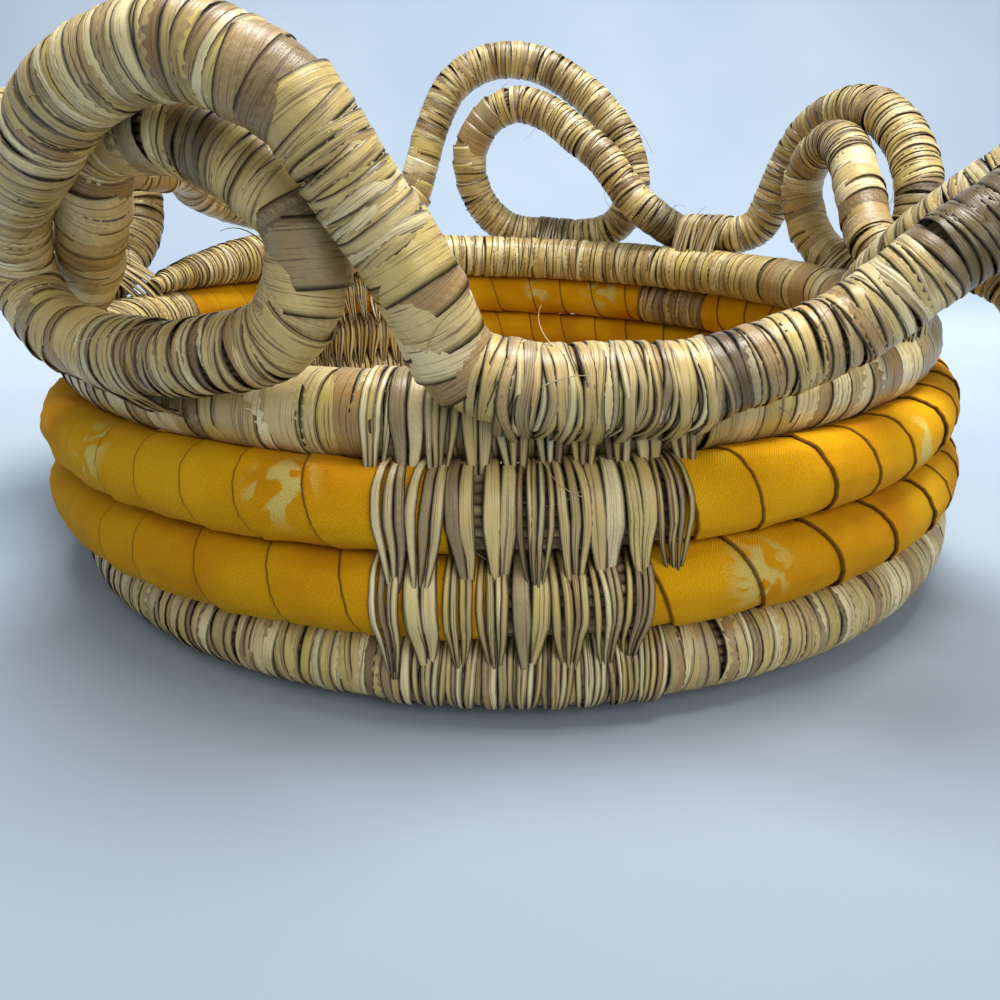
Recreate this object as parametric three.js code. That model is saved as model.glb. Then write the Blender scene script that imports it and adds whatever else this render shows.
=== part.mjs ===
// A round coiled basket: a spiral floor, a wall of four climbing turns wrapped in leaf and
// in cloth, and a border coil that stands up in five doubled loops on the rim.
// Lengths are millimetres, +Z is up, the front of the photograph faces -Y, and the origin
// is the middle of the underside.
import * as THREE from 'three';

// Main sizes. Each can be changed alone, within a few per cent.
const WALL_RADIUS = 140;
const COIL_DIAMETER = 18.2;
const BORDER_DIAMETER = 15.6;
const ROW_HEIGHT = 19.1;
const WRAP_THICKNESS = 1.1;
const FIT_GAP = 0.4;
const REST_GAP = 0.35;
const BUTT_GAP = 0.35;
const LASH_THICKNESS = 0.8;
const LASH_LENGTH = 21;
const FOOT_LASH_LENGTH = 15;
const FRONT_LASH_LENGTH = 40;
const BORDER_STEP = 10;
const CENTRE_RUN = 18.2;
const CENTRE_BEND = 9.2;
const CENTRE_OFFSET = 3.6;
const CENTRE_SHIFT = 9.15;
const SPIRAL_START_RADIUS = 22.4;

// Counts.
const STEPS_PER_TURN = 24;
const SIDES = 6;
const WALL_FIRST_TURN = 0.5;
const SPIRAL_START_BEARING = -2 / 24;
const UP = new THREE.Vector3(0, 0, 1);

// A tenth of the coil's diameter is cut off flat where the basket stands on its floor.
const FLAT_CUT = COIL_DIAMETER / 10;
const REST_HEIGHT = COIL_DIAMETER / 2 - FLAT_CUT;

// The wall coil every quarter turn from turn 0.25 on: how far it stands in from the wall's
// radius, and how high it has climbed, both as shares of one row's height.
const FIRST_KNOT_TURN = 0.25;
const wall_inset_shares = [
  0.861, 0.684, 0.436, 0.105, -0.005, -0.089, -0.065, -0.063, 0.03, -0.03,
  -0.032, 0.02, 0.22, 0.13, 0.283, 0.49, 0.6, 0.46, 0.408, 0.408,
];
const wall_height_shares = [
  0.1, 0.1, 0.12, 0.23, 0.464, 0.712, 0.96, 1.221, 1.472, 1.717,
  1.968, 2.219, 2.469, 2.715, 2.917, 3.099, 3.387, 3.659, 3.909, 4.159,
];
const FLOOR_INSET_SHARE = 1.054;
const FLOOR_EASE_SHARE = 0.122;

// Each loop of the border: its middle, half width and ends in degrees round the rim
// (0 at the front, growing to the right), its height and how far it leans outward. A half
// width below zero turns a loop round, so that it is drawn from its end to its start. The
// foot and the way out lie this many border diameters outward of the rim's resting line.
const LOOP_HEIGHT = 60;
const loops = [
  { name: 'front_left', middle: -28.5, half: 20.5, start: 8, end: -66.5,
    height_share: 0.97, lean_share: 0.2, foot: 0, way_out: -0.97, early: 0, end_inward: -0.5 },
  { name: 'left_back', middle: -92.5, half: 14.5, start: -66.5, end: -147,
    height_share: 0.97, lean_share: 0.2, foot: 0, way_out: -1.2, early: 0, end_inward: -0.25 },
  { name: 'back', middle: 175, half: 20, start: 213, end: 138,
    height_share: 1.3, lean_share: 0.0, foot: 0, way_out: -1.2, early: 0, end_inward: -0.4 },
  { name: 'back_right', middle: 109, half: 16, start: 138, end: 78,
    height_share: 0.93, lean_share: 0.05, foot: 0, way_out: -1.2, early: 0, end_inward: -0.8 },
  { name: 'front_right', middle: 46.3, half: -12, start: 78, end: 8,
    height_share: 1.2, lean_share: 0.82, foot: -1, way_out: 0.6, early: 0.55, end_inward: 0.07 },
];
loops.forEach((loop, i) => {
  loop.start_inward = loops[(i + loops.length - 1) % loops.length].end_inward;
});

// The route of one loop: along the rim in half widths, up in loop heights, and inward in
// border diameters. It goes up and over, back under along the rim, and up and over again
// beneath the first arch. The second table says how much of the foot's place each point has.
const loop_route_shares = [
  [1.22, 0.16, -0.05], [1.1, 0.38, 0], [0.97, 0.63, 0], [0.77, 0.86, 0], [0.42, 0.99, 0],
  [0.0, 0.99, 0], [-0.5, 0.82, 0], [-0.88, 0.56, 0], [-1.0, 0.3, 0], [-0.86, 0.08, 0],
  [-0.5, 0, 0], [-0.12, 0, 0], [0.24, 0.03, 0], [0.51, 0.16, -0.1], [0.63, 0.37, -0.28],
  [0.5, 0.57, -0.45], [0.2, 0.67, -0.62], [-0.12, 0.63, -0.8], [-0.45, 0.51, -1.0],
];
// The front left loop, the nearest, is rounder than the rest and its two arches touch.
const front_left_route_shares = [
  [1.23, 0.04, -0.06], [1.08, 0.36, 0.02], [0.92, 0.6, 0.02], [0.76, 0.84, 0.04],
  [0.42, 0.98, 0.01], [-0.01, 0.92, 0.05], [-0.44, 0.71, 0.05], [-0.86, 0.52, -0.02],
  [-1.07, 0.27, 0.01], [-0.88, 0.1, 0.02], [-0.5, 0.01, -0.04], [-0.12, 0.01, -0.02],
  [0.24, 0.06, 0], [0.55, 0.12, -0.11], [0.68, 0.39, -0.36], [0.5, 0.55, -0.56],
  [0.19, 0.66, -0.75], [-0.11, 0.67, -1.04], [-0.52, 0.64, -1.23],
];
const foot_shares = [0, 0, 0, 0, 0, 0, 0, 0.35, 0.7, 0.92];
const early_shares = [1, 0.45];

// The way out of a loop passes inside the first arch's foot and comes down to the valley,
// where the border lies on the rim a little inward of the loops.
const EXIT_START_SHARE = -0.8;
const EXIT_HEIGHT_SHARE = 0.38;
const FRONT_LEFT_EXIT_START_SHARE = -0.7;
const FRONT_LEFT_EXIT_HEIGHT_SHARE = 0.485;
const ROUTE_INWARD_SHARE = -1.2;
const FOOT_SHARE = -0.25;
const INWARD_UNTIL_SHARE = 1.1;
const OUTWARD_FROM_SHARE = 1.75;

const coil_radius = COIL_DIAMETER / 2;
const border_radius = BORDER_DIAMETER / 2;
const rest_distance = coil_radius + border_radius + REST_GAP;
const REST_ANGLE = 38;
const rest_out = rest_distance * Math.cos(THREE.MathUtils.degToRad(REST_ANGLE));

// A smooth curve through evenly spaced shares.
function through(shares, first, spacing, x) {
  const t = (x - first) / spacing;
  const i = Math.min(Math.max(Math.floor(t), 0), shares.length - 2);
  const f = t - i;
  const b = shares[i];
  const c = shares[i + 1];
  const a = i > 0 ? shares[i - 1] : 2 * b - c;
  const d = i + 2 < shares.length ? shares[i + 2] : 2 * c - b;
  return b + 0.5 * f * (c - a + f * (2 * a - 5 * b + 4 * c - d + f * (3 * (b - c) + d - a)));
}

// Radius and height of the coil's middle line at a turn: turns below 0.25 are the floor.
function coilRadius(turn) {
  if (turn >= FIRST_KNOT_TURN) {
    return WALL_RADIUS - ROW_HEIGHT * through(wall_inset_shares, FIRST_KNOT_TURN, 0.25, turn);
  }
  const ease = Math.sin(Math.PI * turn) ** 2;
  return WALL_RADIUS - ROW_HEIGHT * (FLOOR_INSET_SHARE - turn + FLOOR_EASE_SHARE * ease);
}

function coilHeight(turn) {
  if (turn < WALL_FIRST_TURN) return REST_HEIGHT;
  return REST_HEIGHT + ROW_HEIGHT * through(wall_height_shares, FIRST_KNOT_TURN, 0.25, turn);
}

function around(degrees, radius, height) {
  const a = THREE.MathUtils.degToRad(degrees);
  return new THREE.Vector3(radius * Math.sin(a), -radius * Math.cos(a), height);
}

function coilPoint(turn) {
  return around(turn * 360, coilRadius(turn), coilHeight(turn));
}

// The tangent, and the outward and upward directions square to it, at every point.
function framesAlong(points, outwardAt) {
  return points.map((p, i) => {
    const before = points[Math.max(i - 1, 0)];
    const after = points[Math.min(i + 1, points.length - 1)];
    const t = after.clone().sub(before).normalize();
    const n = outwardAt(p, t, i);
    n.addScaledVector(t, -n.dot(t)).normalize();
    return { p, t, n, b: t.clone().cross(n) };
  });
}

const awayFromAxis = (p) => new THREE.Vector3(p.x, p.y, 0).normalize();

function ringAt(frame, radius, count, phase) {
  const ring = [];
  for (let k = 0; k < count; k += 1) {
    const a = phase + (2 * Math.PI * k) / count;
    const v = frame.p.clone();
    v.addScaledVector(frame.n, radius * Math.cos(a));
    v.addScaledVector(frame.b, radius * Math.sin(a));
    if (v.z < 0) v.z = 0;
    ring.push(v);
  }
  return ring;
}

// A closed mesh from rings of equal count: the skin, and a cap on the first and last ring.
function skin(rings) {
  const count = rings[0].length;
  const xyz = rings.flat().flatMap((v) => [v.x, v.y, v.z]);
  const index = [];
  for (let i = 0; i + 1 < rings.length; i += 1) {
    for (let k = 0; k < count; k += 1) {
      const a = i * count + k;
      const b = i * count + ((k + 1) % count);
      index.push(a, b, b + count, a, b + count, a + count);
    }
  }
  const last = (rings.length - 1) * count;
  for (let k = 1; k + 1 < count; k += 1) {
    index.push(0, k + 1, k, last, last + k, last + k + 1);
  }
  const geometry = new THREE.BufferGeometry();
  geometry.setAttribute('position', new THREE.Float32BufferAttribute(xyz, 3));
  geometry.setIndex(index);
  geometry.computeVertexNormals();
  return geometry;
}

function solidTube(frames, radius, phase) {
  return skin(frames.map((f) => ringAt(f, radius, SIDES, phase)));
}

// A hollow tube: outer skin, inner skin and a flat ring at each end.
function hollowTube(frames, outer, inner, phase) {
  const outside = frames.map((f) => ringAt(f, outer, SIDES, phase));
  const inside = frames.map((f) => ringAt(f, inner, SIDES, phase));
  const xyz = outside.flat().concat(inside.flat()).flatMap((v) => [v.x, v.y, v.z]);
  const half = frames.length * SIDES;
  const last = half - SIDES;
  const index = [];
  for (let k = 0; k < SIDES; k += 1) {
    const n = (k + 1) % SIDES;
    for (let i = 0; i + 1 < frames.length; i += 1) {
      const a = i * SIDES + k;
      const b = i * SIDES + n;
      index.push(a, b, b + SIDES, a, b + SIDES, a + SIDES);
      index.push(half + a, half + b + SIDES, half + b);
      index.push(half + a, half + a + SIDES, half + b + SIDES);
    }
    index.push(k, half + n, n, k, half + k, half + n);
    index.push(last + k, last + n, half + last + n, last + k, half + last + n, half + last + k);
  }
  const geometry = new THREE.BufferGeometry();
  geometry.setAttribute('position', new THREE.Float32BufferAttribute(xyz, 3));
  geometry.setIndex(index);
  geometry.computeVertexNormals();
  return geometry;
}

// An open band that hugs a tube all round but for the part turned to what it is tied to.
function openBand(frames, inner, outer) {
  const open = THREE.MathUtils.degToRad(38);
  const arc = 10;
  const rings = frames.map((f) => {
    const ring = [];
    for (const [radius, forward] of [[outer, true], [inner, false]]) {
      for (let k = 0; k <= arc; k += 1) {
        const share = forward ? k / arc : 1 - k / arc;
        const a = open + (2 * Math.PI - 2 * open) * share;
        const v = f.p.clone();
        v.addScaledVector(f.n, radius * Math.cos(a));
        v.addScaledVector(f.b, radius * Math.sin(a));
        ring.push(v);
      }
    }
    return ring;
  });
  const count = rings[0].length;
  const geometry = skin(rings);
  // The caps of a hollow section are strips between its outer and inner arcs.
  const sides = (rings.length - 1) * count * 2 * 3;
  const index = Array.from(geometry.getIndex().array).slice(0, sides);
  const last = (rings.length - 1) * count;
  for (let k = 0; k < arc; k += 1) {
    const a = k;
    const b = k + 1;
    const c = count - 2 - k;
    const d = count - 1 - k;
    index.push(a, c, b, a, d, c);
    index.push(last + a, last + b, last + c, last + a, last + c, last + d);
  }
  geometry.setIndex(index);
  geometry.computeVertexNormals();
  return geometry;
}

// Cuts a path back at both ends so that two pieces that butt keep a gap.
function trimmed(points, gap) {
  const out = points.map((p) => p.clone());
  out[0].lerp(out[1], gap / out[0].distanceTo(out[1]));
  const n = out.length - 1;
  out[n].lerp(out[n - 1], gap / out[n].distanceTo(out[n - 1]));
  return out;
}

// The middle line of the wall coil between two turns, on the shared steps.
function coilRun(first, last) {
  const points = [];
  const from = Math.round(first * STEPS_PER_TURN);
  const to = Math.round(last * STEPS_PER_TURN);
  for (let k = from; k <= to; k += 1) points.push(coilPoint(k / STEPS_PER_TURN));
  return points;
}

// The ends of a run take the tangents of the whole coil, so that neighbours meet square.
function coilFrames(first, last, gap) {
  const step = 1 / STEPS_PER_TURN;
  const all = framesAlong(coilRun(first - step, last + step), awayFromAxis);
  const frames = all.slice(1, -1);
  const n = frames.length - 1;
  const head = frames[0].p.clone();
  const tail = frames[n].p.clone();
  head.lerp(frames[1].p, gap / head.distanceTo(frames[1].p));
  tail.lerp(frames[n - 1].p, gap / tail.distanceTo(frames[n - 1].p));
  frames[0].p = head;
  frames[n].p = tail;
  return frames;
}

const WALL_LAST_TURN = 4 + 17 / 24;

// The floor: a straight start through the middle, one tight bend, then the spiral.
function floorRun() {
  const points = [];
  const bend_x = -CENTRE_SHIFT;
  const bend_y = CENTRE_OFFSET - CENTRE_BEND;
  const third = CENTRE_RUN / 3;
  for (let k = 0; k < 3; k += 1) {
    points.push(new THREE.Vector3(bend_x + CENTRE_RUN - third * k, CENTRE_OFFSET, REST_HEIGHT));
  }
  for (const degrees of [90, 120, 150, 180, 205]) {
    const a = THREE.MathUtils.degToRad(degrees);
    points.push(new THREE.Vector3(bend_x + CENTRE_BEND * Math.cos(a),
      bend_y + CENTRE_BEND * Math.sin(a), REST_HEIGHT));
  }
  let first = 0;
  while (coilRadius((first - 1) / STEPS_PER_TURN) > SPIRAL_START_RADIUS) first -= 1;
  // The centre is drawn for a spiral that starts at a fixed bearing, and turns with it.
  const turned = 2 * Math.PI * (first / STEPS_PER_TURN - SPIRAL_START_BEARING);
  for (const p of points) p.applyAxisAngle(UP, turned);
  const last = Math.round(WALL_FIRST_TURN * STEPS_PER_TURN);
  for (let k = first; k <= last; k += 1) points.push(coilPoint(k / STEPS_PER_TURN));
  points[points.length - 1].z = REST_HEIGHT;
  return points;
}

// The rim turn that carries the border at an angle, and where the border's middle line
// rests on it. On the left the rim steps up a turn, so the two levels are blended there.
function restAt(degrees, inward) {
  const wrapped = ((degrees % 360) + 360) % 360;
  const low = wrapped > 180 ? 3 + wrapped / 360 : 4 + wrapped / 360;
  const high = 4 + wrapped / 360;
  const blend = wrapped > 180 ? 1 - THREE.MathUtils.smoothstep(wrapped, 250, 270) : 0;
  const top = Math.min(high, WALL_LAST_TURN);
  const radius = THREE.MathUtils.lerp(coilRadius(low), coilRadius(top), blend);
  const height = THREE.MathUtils.lerp(coilHeight(low), coilHeight(top), blend);
  const out = rest_out + inward * BORDER_DIAMETER;
  const lift = Math.sqrt(Math.max(rest_distance ** 2 - out ** 2, 0));
  return { radius: radius + out, height: height + lift };
}

function borderPoint(loop, s, h, q) {
  const degrees = loop.middle + s * loop.half;
  const rest = restAt(degrees, q);
  const up = h * LOOP_HEIGHT * loop.height_share;
  const slant = Math.sqrt(1 + loop.lean_share ** 2);
  return around(degrees, rest.radius + (up * loop.lean_share) / slant,
    rest.height + up / slant);
}

// The middle line of one loop, from valley to valley, in even steps with straight ends.
function borderRun(loop) {
  const turned = loop.half < 0;
  const [from, to] = turned ? [loop.end, loop.start] : [loop.start, loop.end];
  const inward_from = turned ? loop.end_inward : loop.start_inward;
  const inward_to = turned ? loop.start_inward : loop.end_inward;
  const first = (from - loop.middle) / loop.half;
  const last = (to - loop.middle) / loop.half;
  const half_angle = THREE.MathUtils.degToRad(Math.abs(loop.half));
  const straight = BORDER_DIAMETER / (WALL_RADIUS * half_angle);
  const rounder = loop.name === 'front_left';
  const shares = rounder ? front_left_route_shares : loop_route_shares;
  const exit_start = rounder ? FRONT_LEFT_EXIT_START_SHARE : EXIT_START_SHARE;
  const exit_height = rounder ? FRONT_LEFT_EXIT_HEIGHT_SHARE : EXIT_HEIGHT_SHARE;
  const route = shares.map(([s, h, q], i) => {
    const foot = loop.foot * (foot_shares[i] ?? 1);
    const inward = foot + ((loop.way_out - loop.foot) * q) / ROUTE_INWARD_SHARE;
    return borderPoint(loop, s + loop.early * (early_shares[i] ?? 0), h, inward);
  });
  const bottom = last + straight;
  for (let s = exit_start; s > bottom + 0.12; s -= s > -1.5 ? 0.2 : 0.45) {
    const t = (s - exit_start) / (bottom - exit_start);
    const ease = THREE.MathUtils.smoothstep(-s, INWARD_UNTIL_SHARE, OUTWARD_FROM_SHARE);
    const q = THREE.MathUtils.lerp(loop.way_out, inward_to, ease);
    route.push(borderPoint(loop, s, exit_height * (1 - t) ** 1.3, q));
  }
  // Each end lies straight along the rim for one diameter.
  const head = borderPoint(loop, first, 0, inward_from);
  const tail = borderPoint(loop, last, 0, inward_to);
  const onward = valleyDirection(from).multiplyScalar(turned ? -1 : 1);
  const backward = valleyDirection(to).multiplyScalar(turned ? 1 : -1);
  const inner_head = head.clone().addScaledVector(onward, BORDER_DIAMETER);
  const inner_tail = tail.clone().addScaledVector(backward, BORDER_DIAMETER);
  const curve = new THREE.CatmullRomCurve3([inner_head, ...route, inner_tail], false,
    'centripetal');
  curve.arcLengthDivisions = 800;
  const steps = Math.round(curve.getLength() / BORDER_STEP);
  const run = [head, head.clone().lerp(inner_head, 0.5), ...curve.getSpacedPoints(steps),
    tail.clone().lerp(inner_tail, 0.5), tail];
  return turned ? run.reverse() : run;
}

// The border is followed clockwise seen from above.
function valleyDirection(degrees) {
  return around(degrees + 90, 1, 0).negate();
}

// Frames of a border length, its end faces square to the rim so that neighbours meet.
function borderFrames(loop, points) {
  const frames = framesAlong(points, awayFromAxis);
  for (const [i, degrees] of [[0, loop.start], [points.length - 1, loop.end]]) {
    const f = frames[i];
    f.t = valleyDirection(degrees);
    f.n.addScaledVector(f.t, -f.n.dot(f.t)).normalize();
    f.b = f.t.clone().cross(f.n);
  }
  return frames;
}

// Least distance between two parts of one middle line, less the tube's own diameter.
function selfGap(points, diameter) {
  const fine = [];
  let walked = 0;
  for (let i = 0; i + 1 < points.length; i += 1) {
    const span = points[i].distanceTo(points[i + 1]);
    const parts = Math.ceil(span / (diameter / 6));
    for (let k = 0; k < parts; k += 1) {
      fine.push({ p: points[i].clone().lerp(points[i + 1], k / parts),
        at: walked + (span * k) / parts });
    }
    walked += span;
  }
  let least = Infinity;
  let where = [0, 0];
  for (let i = 0; i < fine.length; i += 1) {
    for (let j = i + 1; j < fine.length; j += 1) {
      if (fine[j].at - fine[i].at < diameter * 2.6) continue;
      const distance = fine[i].p.distanceTo(fine[j].p);
      if (distance < least) {
        least = distance;
        where = [fine[i].at / walked, fine[j].at / walked];
      }
    }
  }
  const places = where.map((share) => share.toFixed(3)).join(' and ');
  return `${(least - diameter).toFixed(2)} mm at ${places} of its length`;
}

const leaf = { color: 0xb9ac86, roughness: 0.62, metalness: 0 };
const leaf_dark = { color: 0x8d7c5e, roughness: 0.66, metalness: 0 };
const stem = { color: 0xa8905e, roughness: 0.8, metalness: 0 };
const cloth = { color: 0xd6a020, roughness: 0.85, metalness: 0 };

const basket = new THREE.Group();
basket.name = 'coiled_basket';

function add(name, geometry, look) {
  const mesh = new THREE.Mesh(geometry, new THREE.MeshStandardMaterial({ ...look }));
  mesh.name = name;
  basket.add(mesh);
}

// Floor and wall.
const flat_phase = 0;
const point_phase = Math.PI / 2;
const floor_points = floorRun();
const floorSide = (p, t) => new THREE.Vector3(t.y, -t.x, 0).normalize();
const floor_frames = framesAlong([...floor_points, coilPoint(WALL_FIRST_TURN + 1 / 24)], floorSide);
floor_frames.pop();
const floor_end = floor_frames[floor_frames.length - 1];
const before_end = floor_frames[floor_frames.length - 2].p;
floor_end.p = floor_end.p.clone().lerp(before_end, BUTT_GAP / floor_end.p.distanceTo(before_end));
for (const f of floor_frames) {
  f.n.setZ(0).normalize();
  f.b.set(0, 0, -1);
}
add('floor_coil', solidTube(floor_frames, coil_radius, flat_phase), leaf_dark);
console.log('floor coil gap to itself', selfGap(floor_points, COIL_DIAMETER));

const core_radius = coil_radius - WRAP_THICKNESS - FIT_GAP;
const wrap_inner = coil_radius - WRAP_THICKNESS;
const wall_points = coilRun(WALL_FIRST_TURN, WALL_LAST_TURN);
add('wall_coil_core', solidTube(coilFrames(WALL_FIRST_TURN, WALL_LAST_TURN, 0), core_radius,
  point_phase), stem);
console.log('wall coil gap to itself', selfGap(wall_points, COIL_DIAMETER));

const wall_wraps = [
  ['leaf_wrap_base_row', WALL_FIRST_TURN, 1.5, leaf],
  ['cloth_wrap_lower_left', 1.5, 2, cloth],
  ['leaf_wrap_front_lower', 2, 2 + 1 / 24, leaf],
  ['cloth_wrap_right_and_back', 2 + 1 / 24, 3, cloth],
  ['leaf_wrap_front_upper', 3, 3 + 1 / 24, leaf],
  ['cloth_wrap_upper_right', 3 + 1 / 24, 3 + 9 / 24, cloth],
  ['leaf_wrap_back', 3 + 9 / 24, 3 + 10 / 24, leaf],
  ['cloth_wrap_upper_back', 3 + 10 / 24, 3 + 17 / 24, cloth],
  ['leaf_wrap_rim', 3 + 17 / 24, WALL_LAST_TURN, leaf],
];
for (const [name, first, last, look] of wall_wraps) {
  add(name, hollowTube(coilFrames(first, last, BUTT_GAP / 2), coil_radius, wrap_inner,
    point_phase), look);
}

// Border: each loop has its bundle, its leaf wrap and a lashing at its foot, and each
// valley between loops has a lashing over the joint.
const border_core = border_radius - WRAP_THICKNESS - FIT_GAP * 1.25;
const border_inner = border_radius - WRAP_THICKNESS;
const lash_inner = border_radius + FIT_GAP * 1.2;
const lash_outer = lash_inner + LASH_THICKNESS;

// Toward the rim turn that the border is tied to, for a border this far inward.
function towardRim(p, inward) {
  const out = rest_out + inward * BORDER_DIAMETER;
  const lift = Math.sqrt(Math.max(rest_distance ** 2 - out ** 2, 0));
  return awayFromAxis(p).multiplyScalar(-out).add(new THREE.Vector3(0, 0, -lift)).normalize();
}

// A lashing follows the coil's own straight steps for its length about a middle point.
function lashFrames(points, middle, length, inward) {
  const at = [0];
  for (let i = 1; i < points.length; i += 1) {
    at.push(at[i - 1] + points[i].distanceTo(points[i - 1]));
  }
  let nearest = 0;
  points.forEach((p, i) => {
    if (p.distanceTo(middle) < points[nearest].distanceTo(middle)) nearest = i;
  });
  const from = at[nearest] - length / 2;
  const to = at[nearest] + length / 2;
  const run = [];
  for (let i = 0; i + 1 < points.length; i += 1) {
    const span = at[i + 1] - at[i];
    for (const edge of [from, to]) {
      if (edge > at[i] && edge < at[i + 1]) {
        run.push(points[i].clone().lerp(points[i + 1], (edge - at[i]) / span));
      }
    }
    if (at[i + 1] > from + 1 && at[i + 1] < to - 1) run.push(points[i + 1].clone());
  }
  return framesAlong(run, (p) => towardRim(p, inward));
}

const border_runs = loops.map((loop) => borderRun(loop));
loops.forEach((loop, i) => {
  const points = trimmed(border_runs[i], BUTT_GAP / 2);
  const frames = borderFrames(loop, points);
  const label = loop.name;
  add(`border_core_${label}`, solidTube(frames, border_core, flat_phase), stem);
  add(`leaf_wrap_loop_${label}`, hollowTube(frames, border_radius, border_inner, flat_phase), leaf);
  console.log(label, 'loop gap to itself', selfGap(points, BORDER_DIAMETER));
  const foot = lashFrames(points, borderPoint(loop, FOOT_SHARE, 0, loop.foot),
    FOOT_LASH_LENGTH, loop.foot);
  add(`lashing_foot_${label}`, openBand(foot, lash_inner, lash_outer), leaf_dark);
});
const valley_names = ['front', 'left', 'back_left', 'back_right', 'right'];
loops.forEach((loop, i) => {
  const before = border_runs[(i + loops.length - 1) % loops.length];
  const here = border_runs[i];
  const tail = before.slice(-4, -1);
  const head = here.slice(1, 4);
  const run = [...tail, here[0], ...head];
  const middle = here[0];
  const length = valley_names[i] === 'front' ? FRONT_LASH_LENGTH : LASH_LENGTH;
  const frames = lashFrames(run, middle, length, loops[i].start_inward);
  add(`lashing_valley_${valley_names[i]}`, openBand(frames, lash_inner, lash_outer), leaf_dark);
});

export default basket;
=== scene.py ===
# %% [markdown]
# # A coiled basket with a looped border
# The real basket is one long bundle of grass stems, wound round and round and bound with
# strips of leaf and of cotton cloth. A second bundle stands on the rim in five doubled
# loops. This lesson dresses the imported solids: every binding is made as separate strips,
# because strips that cross and overlap catch the light as a smooth tube never would.

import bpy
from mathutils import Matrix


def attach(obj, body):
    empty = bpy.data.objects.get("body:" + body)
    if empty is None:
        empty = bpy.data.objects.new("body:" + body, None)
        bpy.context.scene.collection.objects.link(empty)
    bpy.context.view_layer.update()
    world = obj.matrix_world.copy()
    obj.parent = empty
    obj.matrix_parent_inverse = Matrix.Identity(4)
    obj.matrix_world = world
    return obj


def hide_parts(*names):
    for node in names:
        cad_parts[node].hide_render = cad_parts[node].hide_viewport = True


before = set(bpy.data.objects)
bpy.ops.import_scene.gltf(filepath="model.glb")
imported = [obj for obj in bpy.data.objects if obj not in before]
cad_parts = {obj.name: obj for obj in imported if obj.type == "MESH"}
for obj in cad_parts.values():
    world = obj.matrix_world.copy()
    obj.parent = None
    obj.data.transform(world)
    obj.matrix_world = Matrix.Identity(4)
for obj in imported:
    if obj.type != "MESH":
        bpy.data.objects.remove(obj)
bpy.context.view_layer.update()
print("nodes in the frame:", len(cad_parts))

# %% Tools
import math
import random

import bmesh
import bpy
import numpy as np
from mathutils import Matrix, Vector, noise

MM = 0.001
FULL_TURN = 2 * math.pi

# %% [markdown]
# ## Camera and light
# The photograph was taken from a hand's height with a wide lens, close to the front loop.
# A wide lens near its subject makes the front loop large and the back loops small, so the
# camera's place and lens come before any judgement of shape. The light is soft and comes
# from above, as by a window, on a pale blue-grey sheet that sweeps up behind the basket.

# %% Camera
FOCAL_PIXELS = 827.4
PICTURE_PIXELS = 1000
SENSOR_MM = 36.0
CAMERA_PLACE = Vector((0.0, -0.298, 0.1122))
CAMERA_PITCH = math.radians(-21.05)
CAMERA_YAW = math.radians(-0.29)
CAMERA_ROLL = math.radians(0.5)


def linked(name, data):
    """A new object for some data, put in the scene."""
    made = bpy.data.objects.new(name, data)
    bpy.context.collection.objects.link(made)
    return made


def add_camera():
    """A camera that looks along a pitch and a yaw and is then rolled about its own axis."""
    ahead = Vector((
        math.sin(CAMERA_YAW) * math.cos(CAMERA_PITCH),
        math.cos(CAMERA_YAW) * math.cos(CAMERA_PITCH),
        math.sin(CAMERA_PITCH),
    ))
    level = ahead.cross(Vector((0, 0, 1))).normalized()
    above = level.cross(ahead)
    right = level * math.cos(CAMERA_ROLL) + above * math.sin(CAMERA_ROLL)
    up = above * math.cos(CAMERA_ROLL) - level * math.sin(CAMERA_ROLL)
    data = bpy.data.cameras.new("camera")
    data.sensor_width = SENSOR_MM
    data.lens = FOCAL_PIXELS * SENSOR_MM / PICTURE_PIXELS
    data.clip_start = 0.01
    camera = linked("camera", data)
    turned = Matrix((right, up, -ahead)).transposed().to_4x4()
    camera.matrix_world = Matrix.Translation(CAMERA_PLACE) @ turned
    bpy.context.scene.camera = camera
    return camera


print("lens:", round(add_camera().data.lens, 2), "mm")


# %% Lamps and world
def add_lamp(name, place, target, size, power):
    """A square soft lamp at a place, turned to shine at a target."""
    data = bpy.data.lights.new(name, "AREA")
    data.size = size
    data.energy = power
    lamp = linked(name, data)
    lamp.location = place
    lamp.rotation_euler = (Vector(target) - Vector(place)).to_track_quat("-Z", "Y").to_euler()


add_lamp("window_above", (0.15, -0.05, 1.4), (0, 0.05, 0.05), 0.7, 29.0)
add_lamp("soft_front", (0.55, -1.1, 0.8), (0, 0, 0.06), 0.8, 7.0)
world = bpy.data.worlds.new("pale_room")
world.use_nodes = True
room_light = world.node_tree.nodes["Background"].inputs
room_light["Color"].default_value = (0.86, 0.92, 1.0, 1)
room_light["Strength"].default_value = 0.43
bpy.context.scene.world = world
bpy.context.scene.view_settings.view_transform = "Standard"
print("lamps:", len(bpy.data.lights))

# %% [markdown]
# ## Nodes in few words
# Materials here and trees later are built from nodes. A handful of helpers add a node, set
# or link its inputs, and hand back what comes out, so that each effect reads as one line.


# %% Node helpers
def add_node(tree, kind, values=None, **settings):
    """A node with its settings made, and each listed input set or linked."""
    made = tree.nodes.new(kind)
    for key, value in settings.items():
        setattr(made, key, value)
    for key, value in (values or {}).items():
        if isinstance(value, bpy.types.NodeSocket):
            tree.links.new(value, made.inputs[key])
        else:
            made.inputs[key].default_value = value
    return made


def result(tree, kind, values=None, **settings):
    return add_node(tree, kind, values, **settings).outputs[0]


def maths(tree, operation, *values):
    return result(tree, "ShaderNodeMath", dict(enumerate(values)), operation=operation)


def times(tree, a, b):
    return maths(tree, "MULTIPLY", a, b)


def plus(tree, a, b):
    return maths(tree, "ADD", a, b)


def scaled(tree, vector, scale):
    return result(tree, "ShaderNodeVectorMath", {0: vector, "Scale": scale}, operation="SCALE")


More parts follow.
